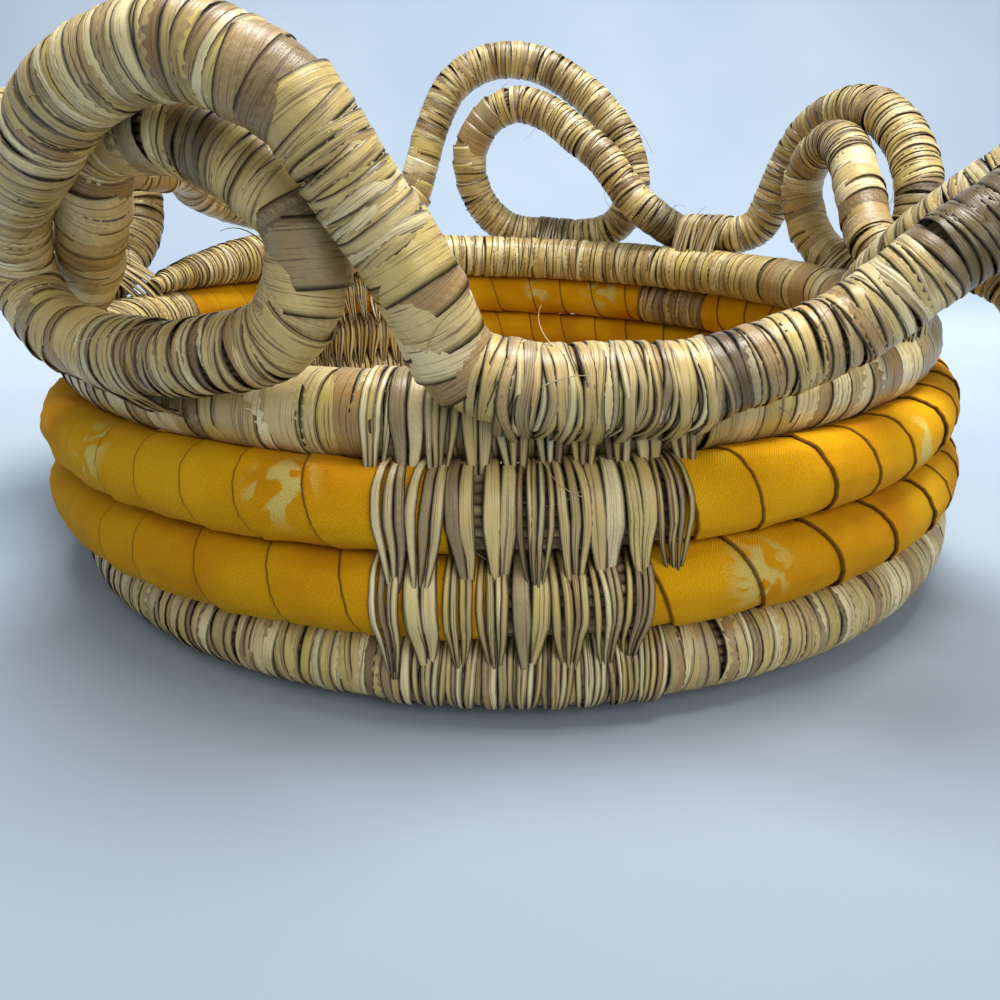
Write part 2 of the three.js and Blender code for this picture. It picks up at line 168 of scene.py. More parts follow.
def vector_of(tree, x, y, z):
    return result(tree, "ShaderNodeCombineXYZ", {0: x, 1: y, 2: z})


def parts_of(tree, vector):
    return add_node(tree, "ShaderNodeSeparateXYZ", {0: vector}).outputs


def cloudy(tree, place, scale, detail, own=None, **more):
    """Soft noise. A number of its own gives each strip another stretch of it."""
    values = {"Vector": place, "Scale": scale, "Detail": detail, **more}
    if own is None:
        return add_node(tree, "ShaderNodeTexNoise", values).outputs
    return add_node(tree, "ShaderNodeTexNoise", {**values, "W": own},
                    noise_dimensions="4D").outputs


# %% Colour helpers
def srgb(red, green, blue):
    """A colour as read off a screen, 0 to 255, turned into the linear light Blender uses."""
    def linear(value):
        share = value / 255
        return share / 12.92 if share <= 0.04045 else ((share + 0.055) / 1.055) ** 2.4
    return (linear(red), linear(green), linear(blue), 1.0)


def ramp(tree, value, stops):
    """Colours that change with a number. Each stop is a place and a colour."""
    made = add_node(tree, "ShaderNodeValToRGB", {"Fac": value})
    elements = made.color_ramp.elements
    while len(elements) < len(stops):
        elements.new(0.5)
    for element, (place, colour) in zip(elements, stops):
        element.position = place
        element.color = colour
    return made.outputs["Color"]


def mix(tree, share, first, second):
    return add_node(tree, "ShaderNodeMix", {0: share, 6: first, 7: second},
                    data_type="RGBA").outputs[2]


def reach(tree, value, low, high, new_low=0.0, new_high=1.0):
    """A number moved from one range to another, and kept within it."""
    return result(tree, "ShaderNodeMapRange",
                  {0: value, 1: low, 2: high, 3: new_low, 4: new_high})


def start_material(name):
    """A new material, its nodes and its shader."""
    material = bpy.data.materials.new(name)
    material.use_nodes = True
    return material, material.node_tree, material.node_tree.nodes["Principled BSDF"]


def place_on(tree):
    return add_node(tree, "ShaderNodeTexCoord").outputs["Object"]


def dress(tree, shader, colour, roughness, height, strength, depth):
    """Feeds a colour, a roughness and bumps of a depth into a shader."""
    bumps = result(tree, "ShaderNodeBump",
                   {"Height": height, "Strength": strength, "Distance": depth})
    for label, socket in (("Base Color", colour), ("Roughness", roughness), ("Normal", bumps)):
        tree.links.new(socket, shader.inputs[label])


# %% Floor and backdrop
SWEEP_HALF_WIDTH = 3.0
SWEEP_FROM = 0.75
SWEEP_RADIUS = 0.6
SWEEP_HEIGHT = 2.5
SWEEP_STEPS = 24


def mesh_object(name, corners, edges, faces, numbers=None, vectors=None):
    """An object from corners, with named numbers and directions at each corner."""
    mesh = bpy.data.meshes.new(name)
    mesh.from_pydata([tuple(corner) for corner in corners], edges, faces)
    mesh.shade_smooth()
    for label, values in (numbers or {}).items():
        layer = mesh.attributes.new(label, "FLOAT", "POINT")
        layer.data.foreach_set("value", np.asarray(values, dtype=float))
    for label, values in (vectors or {}).items():
        layer = mesh.attributes.new(label, "FLOAT_VECTOR", "POINT")
        layer.data.foreach_set("vector", np.asarray(values, dtype=float).ravel())
    return linked(name, mesh)


def add_sweep():
    """One sheet that lies flat under the basket and curves up behind it."""
    outline = [(-SWEEP_HALF_WIDTH, 0.0), (SWEEP_FROM, 0.0)]
    for step in range(1, SWEEP_STEPS + 1):
        bend = math.pi / 2 * step / SWEEP_STEPS
        outline.append((SWEEP_FROM + SWEEP_RADIUS * math.sin(bend),
                        SWEEP_RADIUS * (1 - math.cos(bend))))
    outline.append((SWEEP_FROM + SWEEP_RADIUS, SWEEP_HEIGHT))
    corners = [(x, y, z) for y, z in outline for x in (-SWEEP_HALF_WIDTH, SWEEP_HALF_WIDTH)]
    faces = [(2 * i, 2 * i + 1, 2 * i + 3, 2 * i + 2) for i in range(len(outline) - 1)]
    return mesh_object("sweep", corners, [], faces)


def sweep_material():
    """Pale blue-grey with a sheet's faint unevenness, and painted shade that darkens it towards
    the front.
    """
    material, tree, shader = start_material("pale_sheet")
    place = place_on(tree)
    shader.inputs["Roughness"].default_value = 0.85
    shader.inputs["Specular IOR Level"].default_value = 0.15
    pale = ramp(tree, cloudy(tree, place, 2.2, 3.0)["Fac"],
                [(0.3, srgb(184, 200, 216)), (0.7, srgb(200, 213, 226))])
    # Painted shade: the sheet's colour is scaled down towards the front.
    painted_front_shade = reach(tree, parts_of(tree, place)["Y"], -0.3, 0.4, 0.42, 0.98)
    tree.links.new(scaled(tree, pale, painted_front_shade), shader.inputs["Base Color"])
    return material


sweep = add_sweep()
sweep.data.materials.append(sweep_material())
print("sweep corners:", len(sweep.data.vertices))

# %% [markdown]
# ## The coil's path
# Every binding follows the same middle line, so the line is worked out once. From the
# centre of the floor the coil spirals out, then climbs: each turn stands a little further
# out or in than the one below, which gives the wall its belly. The tables say how far in
# from the widest place it stands, and how high it has climbed, every quarter turn.

# %% Sizes of the coils
WALL_RADIUS = 140 * MM
COIL_RADIUS = 9.1 * MM
BORDER_RADIUS = 7.8 * MM
ROW_HEIGHT = 19.1 * MM
REST_GAP = 0.35 * MM
REST_HEIGHT = 0.8 * COIL_RADIUS
WALL_FIRST_TURN = 0.5
WALL_LAST_TURN = 4 + 17 / 24
FIRST_KNOT_TURN = 0.25
KNOT_SPACING = 0.25
FLOOR_INSET_SHARE = 1.054
FLOOR_EASE_SHARE = 0.122
wall_inset_shares = [
    0.861, 0.684, 0.436, 0.105, -0.005, -0.089, -0.065, -0.063, 0.03, -0.03,
    -0.032, 0.02, 0.22, 0.13, 0.283, 0.49, 0.6, 0.46, 0.408, 0.408,
]
wall_height_shares = [
    0.1, 0.1, 0.12, 0.23, 0.464, 0.712, 0.96, 1.221, 1.472, 1.717,
    1.968, 2.219, 2.469, 2.715, 2.917, 3.099, 3.387, 3.659, 3.909, 4.159,
]


# %% The coil's middle line
def through(shares, turn):
    """A smooth curve through shares that stand a quarter turn apart."""
    along = (turn - FIRST_KNOT_TURN) / KNOT_SPACING
    i = min(max(math.floor(along), 0), len(shares) - 2)
    f = along - i
    b, c = shares[i], shares[i + 1]
    a = shares[i - 1] if i > 0 else 2 * b - c
    d = shares[i + 2] if i + 2 < len(shares) else 2 * c - b
    bend = f * (2 * a - 5 * b + 4 * c - d + f * (3 * (b - c) + d - a))
    return b + 0.5 * f * (c - a + bend)


def coil_radius(turn):
    if turn >= FIRST_KNOT_TURN:
        return WALL_RADIUS - ROW_HEIGHT * through(wall_inset_shares, turn)
    ease = math.sin(math.pi * turn) ** 2
    return WALL_RADIUS - ROW_HEIGHT * (FLOOR_INSET_SHARE - turn + FLOOR_EASE_SHARE * ease)


def coil_height(turn):
    if turn < WALL_FIRST_TURN:
        return REST_HEIGHT
    return REST_HEIGHT + ROW_HEIGHT * through(wall_height_shares, turn)


def around(degrees, radius, height):
    """A point at a bearing: 0 degrees is the front, and it grows towards the right."""
    bearing = math.radians(degrees)
    return np.array((radius * math.sin(bearing), -radius * math.cos(bearing), height))


def coil_run(first, last, per_turn=180):
    """Points of the middle line between two turns."""
    count = max(int(round((last - first) * per_turn)), 3)
    turns = [first + (last - first) * k / count for k in range(count + 1)]
    return np.array([around(t * 360, coil_radius(t), coil_height(t)) for t in turns])


print("one turn of the wall:", round(FULL_TURN * WALL_RADIUS, 3), "m")


# %% Measures along a line
def unit(rows):
    """Each row of a table made one long."""
    return rows / np.maximum(np.linalg.norm(rows, axis=1), 1e-9)[:, None]


def walked(points):
    """How far along its line each point lies."""
    spans = np.linalg.norm(np.diff(points, axis=0), axis=1)
    return np.concatenate(([0], np.cumsum(spans)))


def read_off(want, at, rows):
    """A table's rows as they are at wanted places along a line."""
    return np.stack([np.interp(want, at, rows[:, k]) for k in range(3)], axis=-1)


def even_steps(points, step):
    """The same line with its points an even step apart."""
    points = np.array(points)
    at = walked(points)
    count = max(int(round(at[-1] / step)), 2)
    return read_off(np.linspace(0, at[-1], count + 1), at, points)


def centripetal(points, per_span=14):
    """A smooth curve through points that doesn't swing wide where they lie close."""
    points = [np.array(p) for p in points]
    ends = [2 * points[0] - points[1]] + points + [2 * points[-1] - points[-2]]
    out = []
    for i in range(1, len(ends) - 2):
        a, b, c, d = ends[i - 1:i + 3]
        before, here, after = [max(math.sqrt(np.linalg.norm(q - p)), 1e-4)
                               for p, q in ((a, b), (b, c), (c, d))]
        first = ((b - a) / before - (c - a) / (before + here) + (c - b) / here) * here
        second = ((c - b) / here - (d - b) / (here + after) + (d - c) / after) * here
        for k in range(per_span):
            t = k / per_span
            out.append(b + first * t + (-3 * b + 3 * c - 2 * first - second) * t ** 2
                       + (2 * b - 2 * c + first + second) * t ** 3)
    out.append(points[-1])
    return out


# %% [markdown]
# ## The border's path
# The border is followed clockwise seen from above. From a valley between two loops it
# rises over, comes back under itself along the rim, rises again beneath the first arch,
# and passes inside the arch's foot down to the next valley. One table of shares gives the
# route of four loops, the front left loop has its own, and five rows place them on the rim.

# %% The five loops
LOOP_HEIGHT = 60 * MM
REST_ANGLE = math.radians(38)
rest_distance = COIL_RADIUS + BORDER_RADIUS + REST_GAP
rest_out = rest_distance * math.cos(REST_ANGLE)
ROUTE_INWARD_SHARE = -1.2
plain = dict(foot=0.0, way_out=ROUTE_INWARD_SHARE, early=0)
loops = [
    dict(plain, name="front_left", middle=-28.5, half=20.5, start=8, end=-66.5,
         height=0.97, lean=0.2, way_out=-0.97, end_inward=-0.5),
    dict(plain, name="left_back", middle=-92.5, half=14.5, start=-66.5, end=-147,
         height=0.97, lean=0.2, end_inward=-0.25),
    dict(plain, name="back", middle=175, half=20, start=213, end=138,
         height=1.3, lean=0.0, end_inward=-0.4),
    dict(plain, name="back_right", middle=109, half=16, start=138, end=78,
         height=0.93, lean=0.05, end_inward=-0.8),
    dict(name="front_right", middle=46.3, half=-12, start=78, end=8,
         height=1.2, lean=0.82, foot=-1, way_out=0.6, early=0.55, end_inward=0.07),
]
for number, loop in enumerate(loops):
    loop["start_inward"] = loops[number - 1]["end_inward"]
loop_route_shares = [
    (1.22, 0.16, -0.05), (1.1, 0.38, 0), (0.97, 0.63, 0), (0.77, 0.86, 0), (0.42, 0.99, 0),
    (0.0, 0.99, 0), (-0.5, 0.82, 0), (-0.88, 0.56, 0), (-1.0, 0.3, 0), (-0.86, 0.08, 0),
    (-0.5, 0, 0), (-0.12, 0, 0), (0.24, 0.03, 0), (0.51, 0.16, -0.1), (0.63, 0.37, -0.28),
    (0.5, 0.57, -0.45), (0.2, 0.67, -0.62), (-0.12, 0.63, -0.8), (-0.45, 0.51, -1.0),
]
front_left_route_shares = [
    (1.23, 0.04, -0.06), (1.08, 0.36, 0.02), (0.92, 0.6, 0.02), (0.76, 0.84, 0.04),
    (0.42, 0.98, 0.01), (-0.01, 0.92, 0.05), (-0.44, 0.71, 0.05), (-0.86, 0.52, -0.02),
    (-1.07, 0.27, 0.01), (-0.88, 0.1, 0.02), (-0.5, 0.01, -0.04), (-0.12, 0.01, -0.02),
    (0.24, 0.06, 0), (0.55, 0.12, -0.11), (0.68, 0.39, -0.36), (0.5, 0.55, -0.56),
    (0.19, 0.66, -0.75), (-0.11, 0.67, -1.04), (-0.52, 0.64, -1.23),
]
loops[0].update(route=front_left_route_shares, exit_start=-0.7, exit_height=0.485)
foot_shares = [0, 0, 0, 0, 0, 0, 0, 0.35, 0.7, 0.92]
early_shares = [1, 0.45]
EXIT_START_SHARE = -0.8
EXIT_HEIGHT_SHARE = 0.38
INWARD_UNTIL_SHARE = 1.1
OUTWARD_FROM_SHARE = 1.75


# %% A point of the border
def smoothstep(value, low, high):
    share = min(max((value - low) / (high - low), 0), 1)
    return share * share * (3 - 2 * share)


def rest_offset(inward):
    """How far out from the rim's coil and above it the border rests."""
    out = rest_out + inward * 2 * BORDER_RADIUS
    return out, math.sqrt(max(rest_distance ** 2 - out ** 2, 0))


def border_point(loop, s, h, q):
    """A point by half widths along the rim, loop heights up and border diameters outward."""
    degrees = loop["middle"] + s * loop["half"]
    bearing = degrees % 360
    low = 3 + bearing / 360 if bearing > 180 else 4 + bearing / 360
    top = min(4 + bearing / 360, WALL_LAST_TURN)
    share = 1 - smoothstep(bearing, 250, 270) if bearing > 180 else 0
    out, lift = rest_offset(q)
    radius = coil_radius(low) * (1 - share) + coil_radius(top) * share + out
    height = coil_height(low) * (1 - share) + coil_height(top) * share + lift
    rise = h * LOOP_HEIGHT * loop["height"]
    slant = math.sqrt(1 + loop["lean"] ** 2)
    return around(degrees, radius + rise * loop["lean"] / slant, height + rise / slant)


def valley_direction(degrees):
    return -around(degrees + 90, 1, 0)


# %% The border's middle line
LINE_STEP = 2.5 * MM


def route_point(loop, number, s, h, q):
    """A point of the table, moved to where this loop has its foot and its way out."""
    foot = loop["foot"] * (foot_shares[number] if number < len(foot_shares) else 1)
    inward = foot + (loop["way_out"] - loop["foot"]) * q / ROUTE_INWARD_SHARE
    early = loop["early"] * (early_shares[number] if number < len(early_shares) else 0)
    return border_point(loop, s + early, h, inward)


def border_run(loop):
    """The middle line of one loop from valley to valley, with straight ends."""
    turned = loop["half"] < 0
    ends = [(loop["start"], loop["start_inward"]), (loop["end"], loop["end_inward"])]
    (start, inward_start), (end, inward_end) = ends[::-1] if turned else ends
    way = -1 if turned else 1
    first = (start - loop["middle"]) / loop["half"]
    last = (end - loop["middle"]) / loop["half"]
    straight = 2 * BORDER_RADIUS / (WALL_RADIUS * math.radians(abs(loop["half"])))
    shares = loop.get("route", loop_route_shares)
    route = [route_point(loop, n, *share) for n, share in enumerate(shares)]
    bottom = last + straight
    exit_start = loop.get("exit_start", EXIT_START_SHARE)
    exit_height = loop.get("exit_height", EXIT_HEIGHT_SHARE)
    s = exit_start
    while s > bottom + 0.12:
        t = (s - exit_start) / (bottom - exit_start)
        ease = smoothstep(-s, INWARD_UNTIL_SHARE, OUTWARD_FROM_SHARE)
        q = loop["way_out"] * (1 - ease) + inward_end * ease
        route.append(border_point(loop, s, exit_height * (1 - t) ** 1.3, q))
        s -= 0.2 if s > -1.5 else 0.45
    head = border_point(loop, first, 0, inward_start)
    tail = border_point(loop, last, 0, inward_end)
    inner_head = head + valley_direction(start) * 2 * BORDER_RADIUS * way
    inner_tail = tail - valley_direction(end) * 2 * BORDER_RADIUS * way
    curve = centripetal([inner_head] + route + [inner_tail])
    return even_steps([head] + curve + [tail], LINE_STEP)[::way]


border_runs = [border_run(loop) for loop in loops]
for loop, run in zip(loops, border_runs):
    print("border", loop["name"], round(walked(run)[-1], 3), "m")

# %% The floor's middle line
CENTRE_RUN = 18.2 * MM
CENTRE_BEND = 9.2 * MM
CENTRE_OFFSET = 3.6 * MM
CENTRE_SHIFT = 9.15 * MM
SPIRAL_FIRST_TURN = -5 - 2 / 24


def floor_run():
    """A straight start through the middle, one tight bend, then the spiral."""
    points = [(CENTRE_RUN - CENTRE_SHIFT - 3 * k * MM, CENTRE_OFFSET, REST_HEIGHT)
              for k in range(6)]
    for degrees in range(90, 206, 10):
        a = math.radians(degrees)
        points.append((CENTRE_BEND * math.cos(a) - CENTRE_SHIFT,
                       CENTRE_BEND * (math.sin(a) - 1) + CENTRE_OFFSET, REST_HEIGHT))
    spiral = coil_run(SPIRAL_FIRST_TURN, WALL_FIRST_TURN)
    spiral[:, 2] = REST_HEIGHT
    return even_steps(centripetal(points, 3)[:-1] + list(spiral), LINE_STEP)


floor_line = floor_run()
print("floor bundle:", round(walked(floor_line)[-1], 2), "m")

# %% [markdown]
# ## Growing pieces from a path
# A path is a plain mesh of edges that carries named numbers at each point, such as how
# wide or how dark the strips are there. A Geometry Nodes tree grows the piece from it.
# The result is then kept as a plain mesh, so that nothing is left to evaluate later.

# %% Path meshes
SPAN_EDGE = 0.006


def outward_of(points):
    """The way ahead at each point, and away from the basket's axis square to it."""
    ahead = unit(np.gradient(points, axis=0))
    out = unit(points * (1, 1, 0))
    return ahead, unit(out - (out * ahead).sum(axis=1)[:, None] * ahead)


def path_object(points, numbers, vectors=None):
    """Edges through points, with named numbers and directions at each point."""
    edges = [(i, i + 1) for i in range(len(points) - 1)]
    return mesh_object("path", points, edges, [], numbers, vectors)


def ranges(count, spans):
    """One number for each point: 1 inside the spans, which are shares of the length."""
    at = np.linspace(0, 1, count)
    inside = np.zeros(count)
    for first, last in spans:
        edge = np.clip((at - first) / SPAN_EDGE, 0, 1) * np.clip((last - at) / SPAN_EDGE, 0, 1)
        inside = np.maximum(inside, edge)
    return inside


def grow(name, path, tree, settings):
    """Runs a tree on a path with these settings and keeps the result as a plain mesh."""
    modifier = path.modifiers.new("grow", "NODES")
    modifier.node_group = tree
    for item in tree.interface.items_tree:
        if item.item_type == "SOCKET" and item.in_out == "INPUT" and item.name in settings:
            modifier[item.identifier] = settings[item.name]
    bpy.context.view_layer.update()
    graph = bpy.context.evaluated_depsgraph_get()
    mesh = bpy.data.meshes.new_from_object(path.evaluated_get(graph), depsgraph=graph)
    mesh.name = name
    bpy.data.objects.remove(path)
    return linked(name, mesh)


# %% Helpers for trees that grow geometry
SEED = ("Seed", "Int")
FINISH = ("Finish", "Material")


def start_tree(name, numbers, others):
    """A new tree with a path, named numbers and other inputs: its inputs and its end."""
    tree = bpy.data.node_groups.new(name, "GeometryNodeTree")
    sockets = [("Path", "Geometry"), *[(label, "Float") for label in numbers], *others]
    for label, kind in sockets:
        socket = tree.interface.new_socket(label, in_out="INPUT",
                                           socket_type="NodeSocket" + kind)
        if label in numbers:
            socket.default_value = numbers[label]
    tree.interface.new_socket("Piece", in_out="OUTPUT", socket_type="NodeSocketGeometry")
    return tree, tree.nodes.new("NodeGroupInput").outputs, tree.nodes.new("NodeGroupOutput")


def end_tree(tree, end, geometry, finish):
    """The last step of a tree: the finish is set and the piece goes out."""
    dressed = result(tree, "GeometryNodeSetMaterial", {"Geometry": geometry, "Material": finish})
    tree.links.new(dressed, end.inputs[0])
    return tree


def path_curve(tree, given):
    return result(tree, "GeometryNodeMeshToCurve", {"Mesh": given["Path"]})


def spots_along(tree, curve, spacing):
    return add_node(tree, "GeometryNodeCurveToPoints", {"Curve": curve, "Length": spacing},
                    mode="LENGTH").outputs


def circle(tree, steps):
    return result(tree, "GeometryNodeCurvePrimitiveCircle", {"Resolution": steps, "Radius": 1.0},
                  mode="RADIUS")


def random_number(tree, low, high, seed):
    return add_node(tree, "FunctionNodeRandomValue", {2: low, 3: high, 8: seed},
                    data_type="FLOAT").outputs[1]


def random_vector(tree, low, high, seed):
    return result(tree, "FunctionNodeRandomValue", {0: low, 1: high, 8: seed},
                  data_type="FLOAT_VECTOR")


def named(tree, name, kind="FLOAT"):
    return result(tree, "GeometryNodeInputNamedAttribute", {"Name": name}, data_type=kind)


def store(tree, geometry, name, value, domain="POINT", kind="FLOAT"):
    return result(tree, "GeometryNodeStoreNamedAttribute",
                  {"Geometry": geometry, "Name": name, "Value": value},
                  data_type=kind, domain=domain)


def askew(tree, facing, spread, seed):
    """A rotation turned by chance about its own axes, up to a spread about each."""
    turn = result(tree, "FunctionNodeEulerToRotation",
                  {0: random_vector(tree, scaled(tree, spread, -1.0), spread, seed)})
    return result(tree, "FunctionNodeRotateRotation", {0: facing, 1: turn},
                  rotation_space="LOCAL")


# %% [markdown]
# ## Leaf winding
# A strip of leaf goes round the bundle again and again, each turn lying a little askew and
# partly over the last. One way is a single long helix. Here each turn is its own closed
# band, which costs the same and can lean, swell and sit proud by its own chance, as turns
# pulled tight by hand do. Where the maker used a broad leaf the bands are wide and flat.

# %% Strips along a curve
AROUND_STEPS = 24
EDGE_STEPS = 8
HALF_IN_MM = 0.5 / MM
ANY_TURN = 3.14


def band(tree, radius, width, thickness, lap):
    """One closed band of leaf round the middle, tilted by its lap, across the coil."""
    place = result(tree, "GeometryNodeInputPosition")
    ring = store(tree, circle(tree, AROUND_STEPS), "around", place, kind="FLOAT_VECTOR")
    ring = result(tree, "GeometryNodeTransform",
                  {"Geometry": ring, "Scale": vector_of(tree, radius, radius, radius)})
    edge = store(tree, circle(tree, EDGE_STEPS), "across", parts_of(tree, place)["Y"])
    half = vector_of(tree, times(tree, thickness, 0.5), times(tree, width, 0.5), 1.0)
    edge = result(tree, "GeometryNodeTransform",
                  {"Geometry": edge, "Rotation": (0.0, 0.0, lap), "Scale": half})
    swept = result(tree, "GeometryNodeCurveToMesh", {"Curve": ring, "Profile Curve": edge})
    return store(tree, swept, "half", times(tree, width, HALF_IN_MM))


def lay_bands(tree, curve, spacing, shape, lean, seed, wide):
    """Bands on a curve, kept only where the path's wide number agrees."""
    spots = spots_along(tree, curve, spacing)
    turned = askew(tree, spots["Rotation"], vector_of(tree, lean, lean, ANY_TURN), seed)
    swell = times(tree, random_number(tree, 0.985, 1.03, plus(tree, seed, 1)),
                  named(tree, "size"))
    broad = random_number(tree, 0.75, 1.5, plus(tree, seed, 2))
    keep = result(tree, "FunctionNodeCompare", {0: named(tree, "wide"), 1: 0.5},
                  data_type="FLOAT", operation="GREATER_THAN" if wide else "LESS_EQUAL")
    laid = result(tree, "GeometryNodeInstanceOnPoints",
                  {"Points": spots["Points"], "Selection": keep, "Instance": shape,
                   "Rotation": turned, "Scale": vector_of(tree, swell, swell, broad)})
    tone = random_number(tree, 0.0, 1.0, plus(tree, seed, 3))
    return store(tree, laid, "tone", tone, domain="INSTANCE")


# %% Wandering strips
CALM_HALF_WIDTH = 1.3


def hold_above(tree, geometry, lowest):
    """Points that would go below a height are held at it."""
    place = parts_of(tree, result(tree, "GeometryNodeInputPosition"))
    height = maths(tree, "MAXIMUM", place["Z"], lowest)
    return result(tree, "GeometryNodeSetPosition",
                  {"Geometry": geometry,
                   "Position": vector_of(tree, place["X"], place["Y"], height)})


def waver(tree, geometry, amount, lowest):
    """Each strip wanders by its own noise, the broad ones less. None goes below a height."""
    place = result(tree, "GeometryNodeInputPosition")
    wander = cloudy(tree, place, 130.0, 2.0, times(tree, named(tree, "tone"), 60.0))["Color"]
    centred = result(tree, "ShaderNodeVectorMath", {0: wander, 1: (-0.5, -0.5, -0.5)},
                     operation="ADD")
    share = maths(tree, "DIVIDE", CALM_HALF_WIDTH, named(tree, "half"))
    calm = maths(tree, "MINIMUM", share, 1.0)
    moved = result(tree, "GeometryNodeSetPosition",
                   {"Geometry": geometry,
                    "Offset": scaled(tree, centred, times(tree, calm, amount))})
    return hold_above(tree, moved, lowest)


# %% The leaf winding tree
NARROW_LAP = 0.11
BROAD_LAP = 0.025
BROAD_SHARE = 0.9


def winding_tree():
    tree, given, end = start_tree("leaf winding", {
        "Strip Spacing": 1.5 * MM, "Strip Width": 3.0 * MM, "Strip Thickness": 0.4 * MM,
        "Broad Spacing": 5.2 * MM, "Broad Width": 9.0 * MM, "Band Radius": 9 * MM,
        "Lean": 0.13, "Waver": 0.9 * MM, "Lowest": 0.0}, [SEED, FINISH])
    curve = path_curve(tree, given)
    thickness = given["Strip Thickness"]
    narrow = band(tree, given["Band Radius"], given["Strip Width"], thickness, NARROW_LAP)
    broad = band(tree, given["Band Radius"], given["Broad Width"],
                 times(tree, thickness, BROAD_SHARE), BROAD_LAP)
    laid = add_node(tree, "GeometryNodeJoinGeometry")
    tree.links.new(lay_bands(tree, curve, given["Strip Spacing"], narrow, given["Lean"],
                             given["Seed"], False), laid.inputs[0])
    tree.links.new(lay_bands(tree, curve, given["Broad Spacing"], broad,
                             times(tree, given["Lean"], BROAD_SHARE),
                             plus(tree, given["Seed"], 9), True), laid.inputs[0])
    real = result(tree, "GeometryNodeRealizeInstances", {"Geometry": laid.outputs[0]})
    moved = waver(tree, real, given["Waver"], given["Lowest"])
    smooth = result(tree, "GeometryNodeSetShadeSmooth", {"Geometry": moved})
    return end_tree(tree, end, smooth, given["Finish"])


leaf_winding = winding_tree()
print("winding nodes:", len(leaf_winding.nodes))

# %% [markdown]
# ## The bundle of stems
# Inside the bindings is a bundle of thin grass stems. Only gaps between stitches show it,
# so it is one fluted tube: a round outline with a lobe for each stem, swept along the path
# and twisted a little, as a bundle is when it is bound.

# %% The stem bundle tree
STEM_COUNT = 22


def bundle_tree():
    tree, given, end = start_tree("stem bundle", {
        "Bundle Radius": 7.5 * MM, "Stem Depth": 0.13, "Twist": 4.0, "Lowest": 0.0}, [FINISH])
    along = add_node(tree, "GeometryNodeSplineParameter").outputs
    curve = result(tree, "GeometryNodeSetCurveTilt",
                   {"Curve": path_curve(tree, given),
                    "Tilt": times(tree, along["Length"], given["Twist"])})
    lobe = times(tree, along["Factor"], math.pi * STEM_COUNT)
    crest = maths(tree, "ABSOLUTE", maths(tree, "SINE", lobe))
    depth = maths(tree, "MULTIPLY_ADD", crest, given["Stem Depth"], 1.0)
    shaped = scaled(tree, result(tree, "GeometryNodeInputPosition"),
                    times(tree, depth, given["Bundle Radius"]))
    outline = store(tree, circle(tree, STEM_COUNT * 4), "stem",
                    times(tree, along["Factor"], float(STEM_COUNT)))
    outline = result(tree, "GeometryNodeSetPosition", {"Geometry": outline, "Position": shaped})
    swept = result(tree, "GeometryNodeCurveToMesh",
                   {"Curve": curve, "Profile Curve": outline, "Fill Caps": True,
                    "Scale": named(tree, "size")})
    held = hold_above(tree, swept, given["Lowest"])
    real = result(tree, "GeometryNodeRealizeInstances", {"Geometry": held})
    return end_tree(tree, end, real, given["Finish"])


stem_bundle = bundle_tree()
print("bundle nodes:", len(stem_bundle.nodes))

# %% [markdown]
# ## Stitches and lashings
# Where the rows are sewn to each other, strips come out of one crease, lie down over the
# row and go into the next crease in a common hole, so each stitch is a narrow V. Where the
# border is tied down, strips go round both the border and the rim. Each shape is drawn a
# few times by hand-like rules, and a tree sets them along the path and picks among them.

# %% One strip of leaf as a mesh
STRIP_SIDES = 8
STRIP_THICKNESS = 0.45 * MM
TONE_STEP = 0.07
STRIPE_STEP = 0.12


def strip(points, outward, widths, thickness):
    """A flat strip through points: its corners, faces, and place across and along."""
    points = np.array(points)
    tangents = unit(np.gradient(points, axis=0))
    sideways = unit(np.cross(tangents, outward))
    proud = np.cross(sideways, tangents)
    corners, across, along, halves = [], [], [], []
    for i, point in enumerate(points):
        for k in range(STRIP_SIDES):
            a = FULL_TURN * k / STRIP_SIDES
            corners.append(point + sideways[i] * math.cos(a) * widths[i] / 2
                           + proud[i] * math.sin(a) * thickness / 2)
            across.append(math.cos(a))
            along.append((i * STRIPE_STEP, 0.3, 0.1))
            halves.append(widths[i] / MM / 2)
    faces = []
    last = (len(points) - 1) * STRIP_SIDES
    for start in range(0, last, STRIP_SIDES):
        for k in range(STRIP_SIDES):
            a, b = start + k, start + (k + 1) % STRIP_SIDES
            faces.append((a, a + STRIP_SIDES, b + STRIP_SIDES, b))
    faces.append(tuple(range(STRIP_SIDES)))
    faces.append(tuple(reversed(range(last, last + STRIP_SIDES))))
    return corners, faces, across, along, halves


def shape_object(name, strips):
    """Strips joined in one mesh. For a tree to repeat, Z runs along the coil, X outwards."""
    corners, faces, across, along, tones, halves = [], [], [], [], [], []
    for number, (some, sides, place, way, half) in enumerate(strips):
        faces += [tuple(len(corners) + k for k in side) for side in sides]
        corners += some
        across += place
        along += way
        halves += half
        tones += [TONE_STEP * number] * len(some)
    return mesh_object(name, corners, [], faces,
                       {"across": across, "shift": tones, "half": halves}, {"around": along})


# %% The binding tree
SHAPE_LABELS = ("First Shape", "Second Shape", "Third Shape")


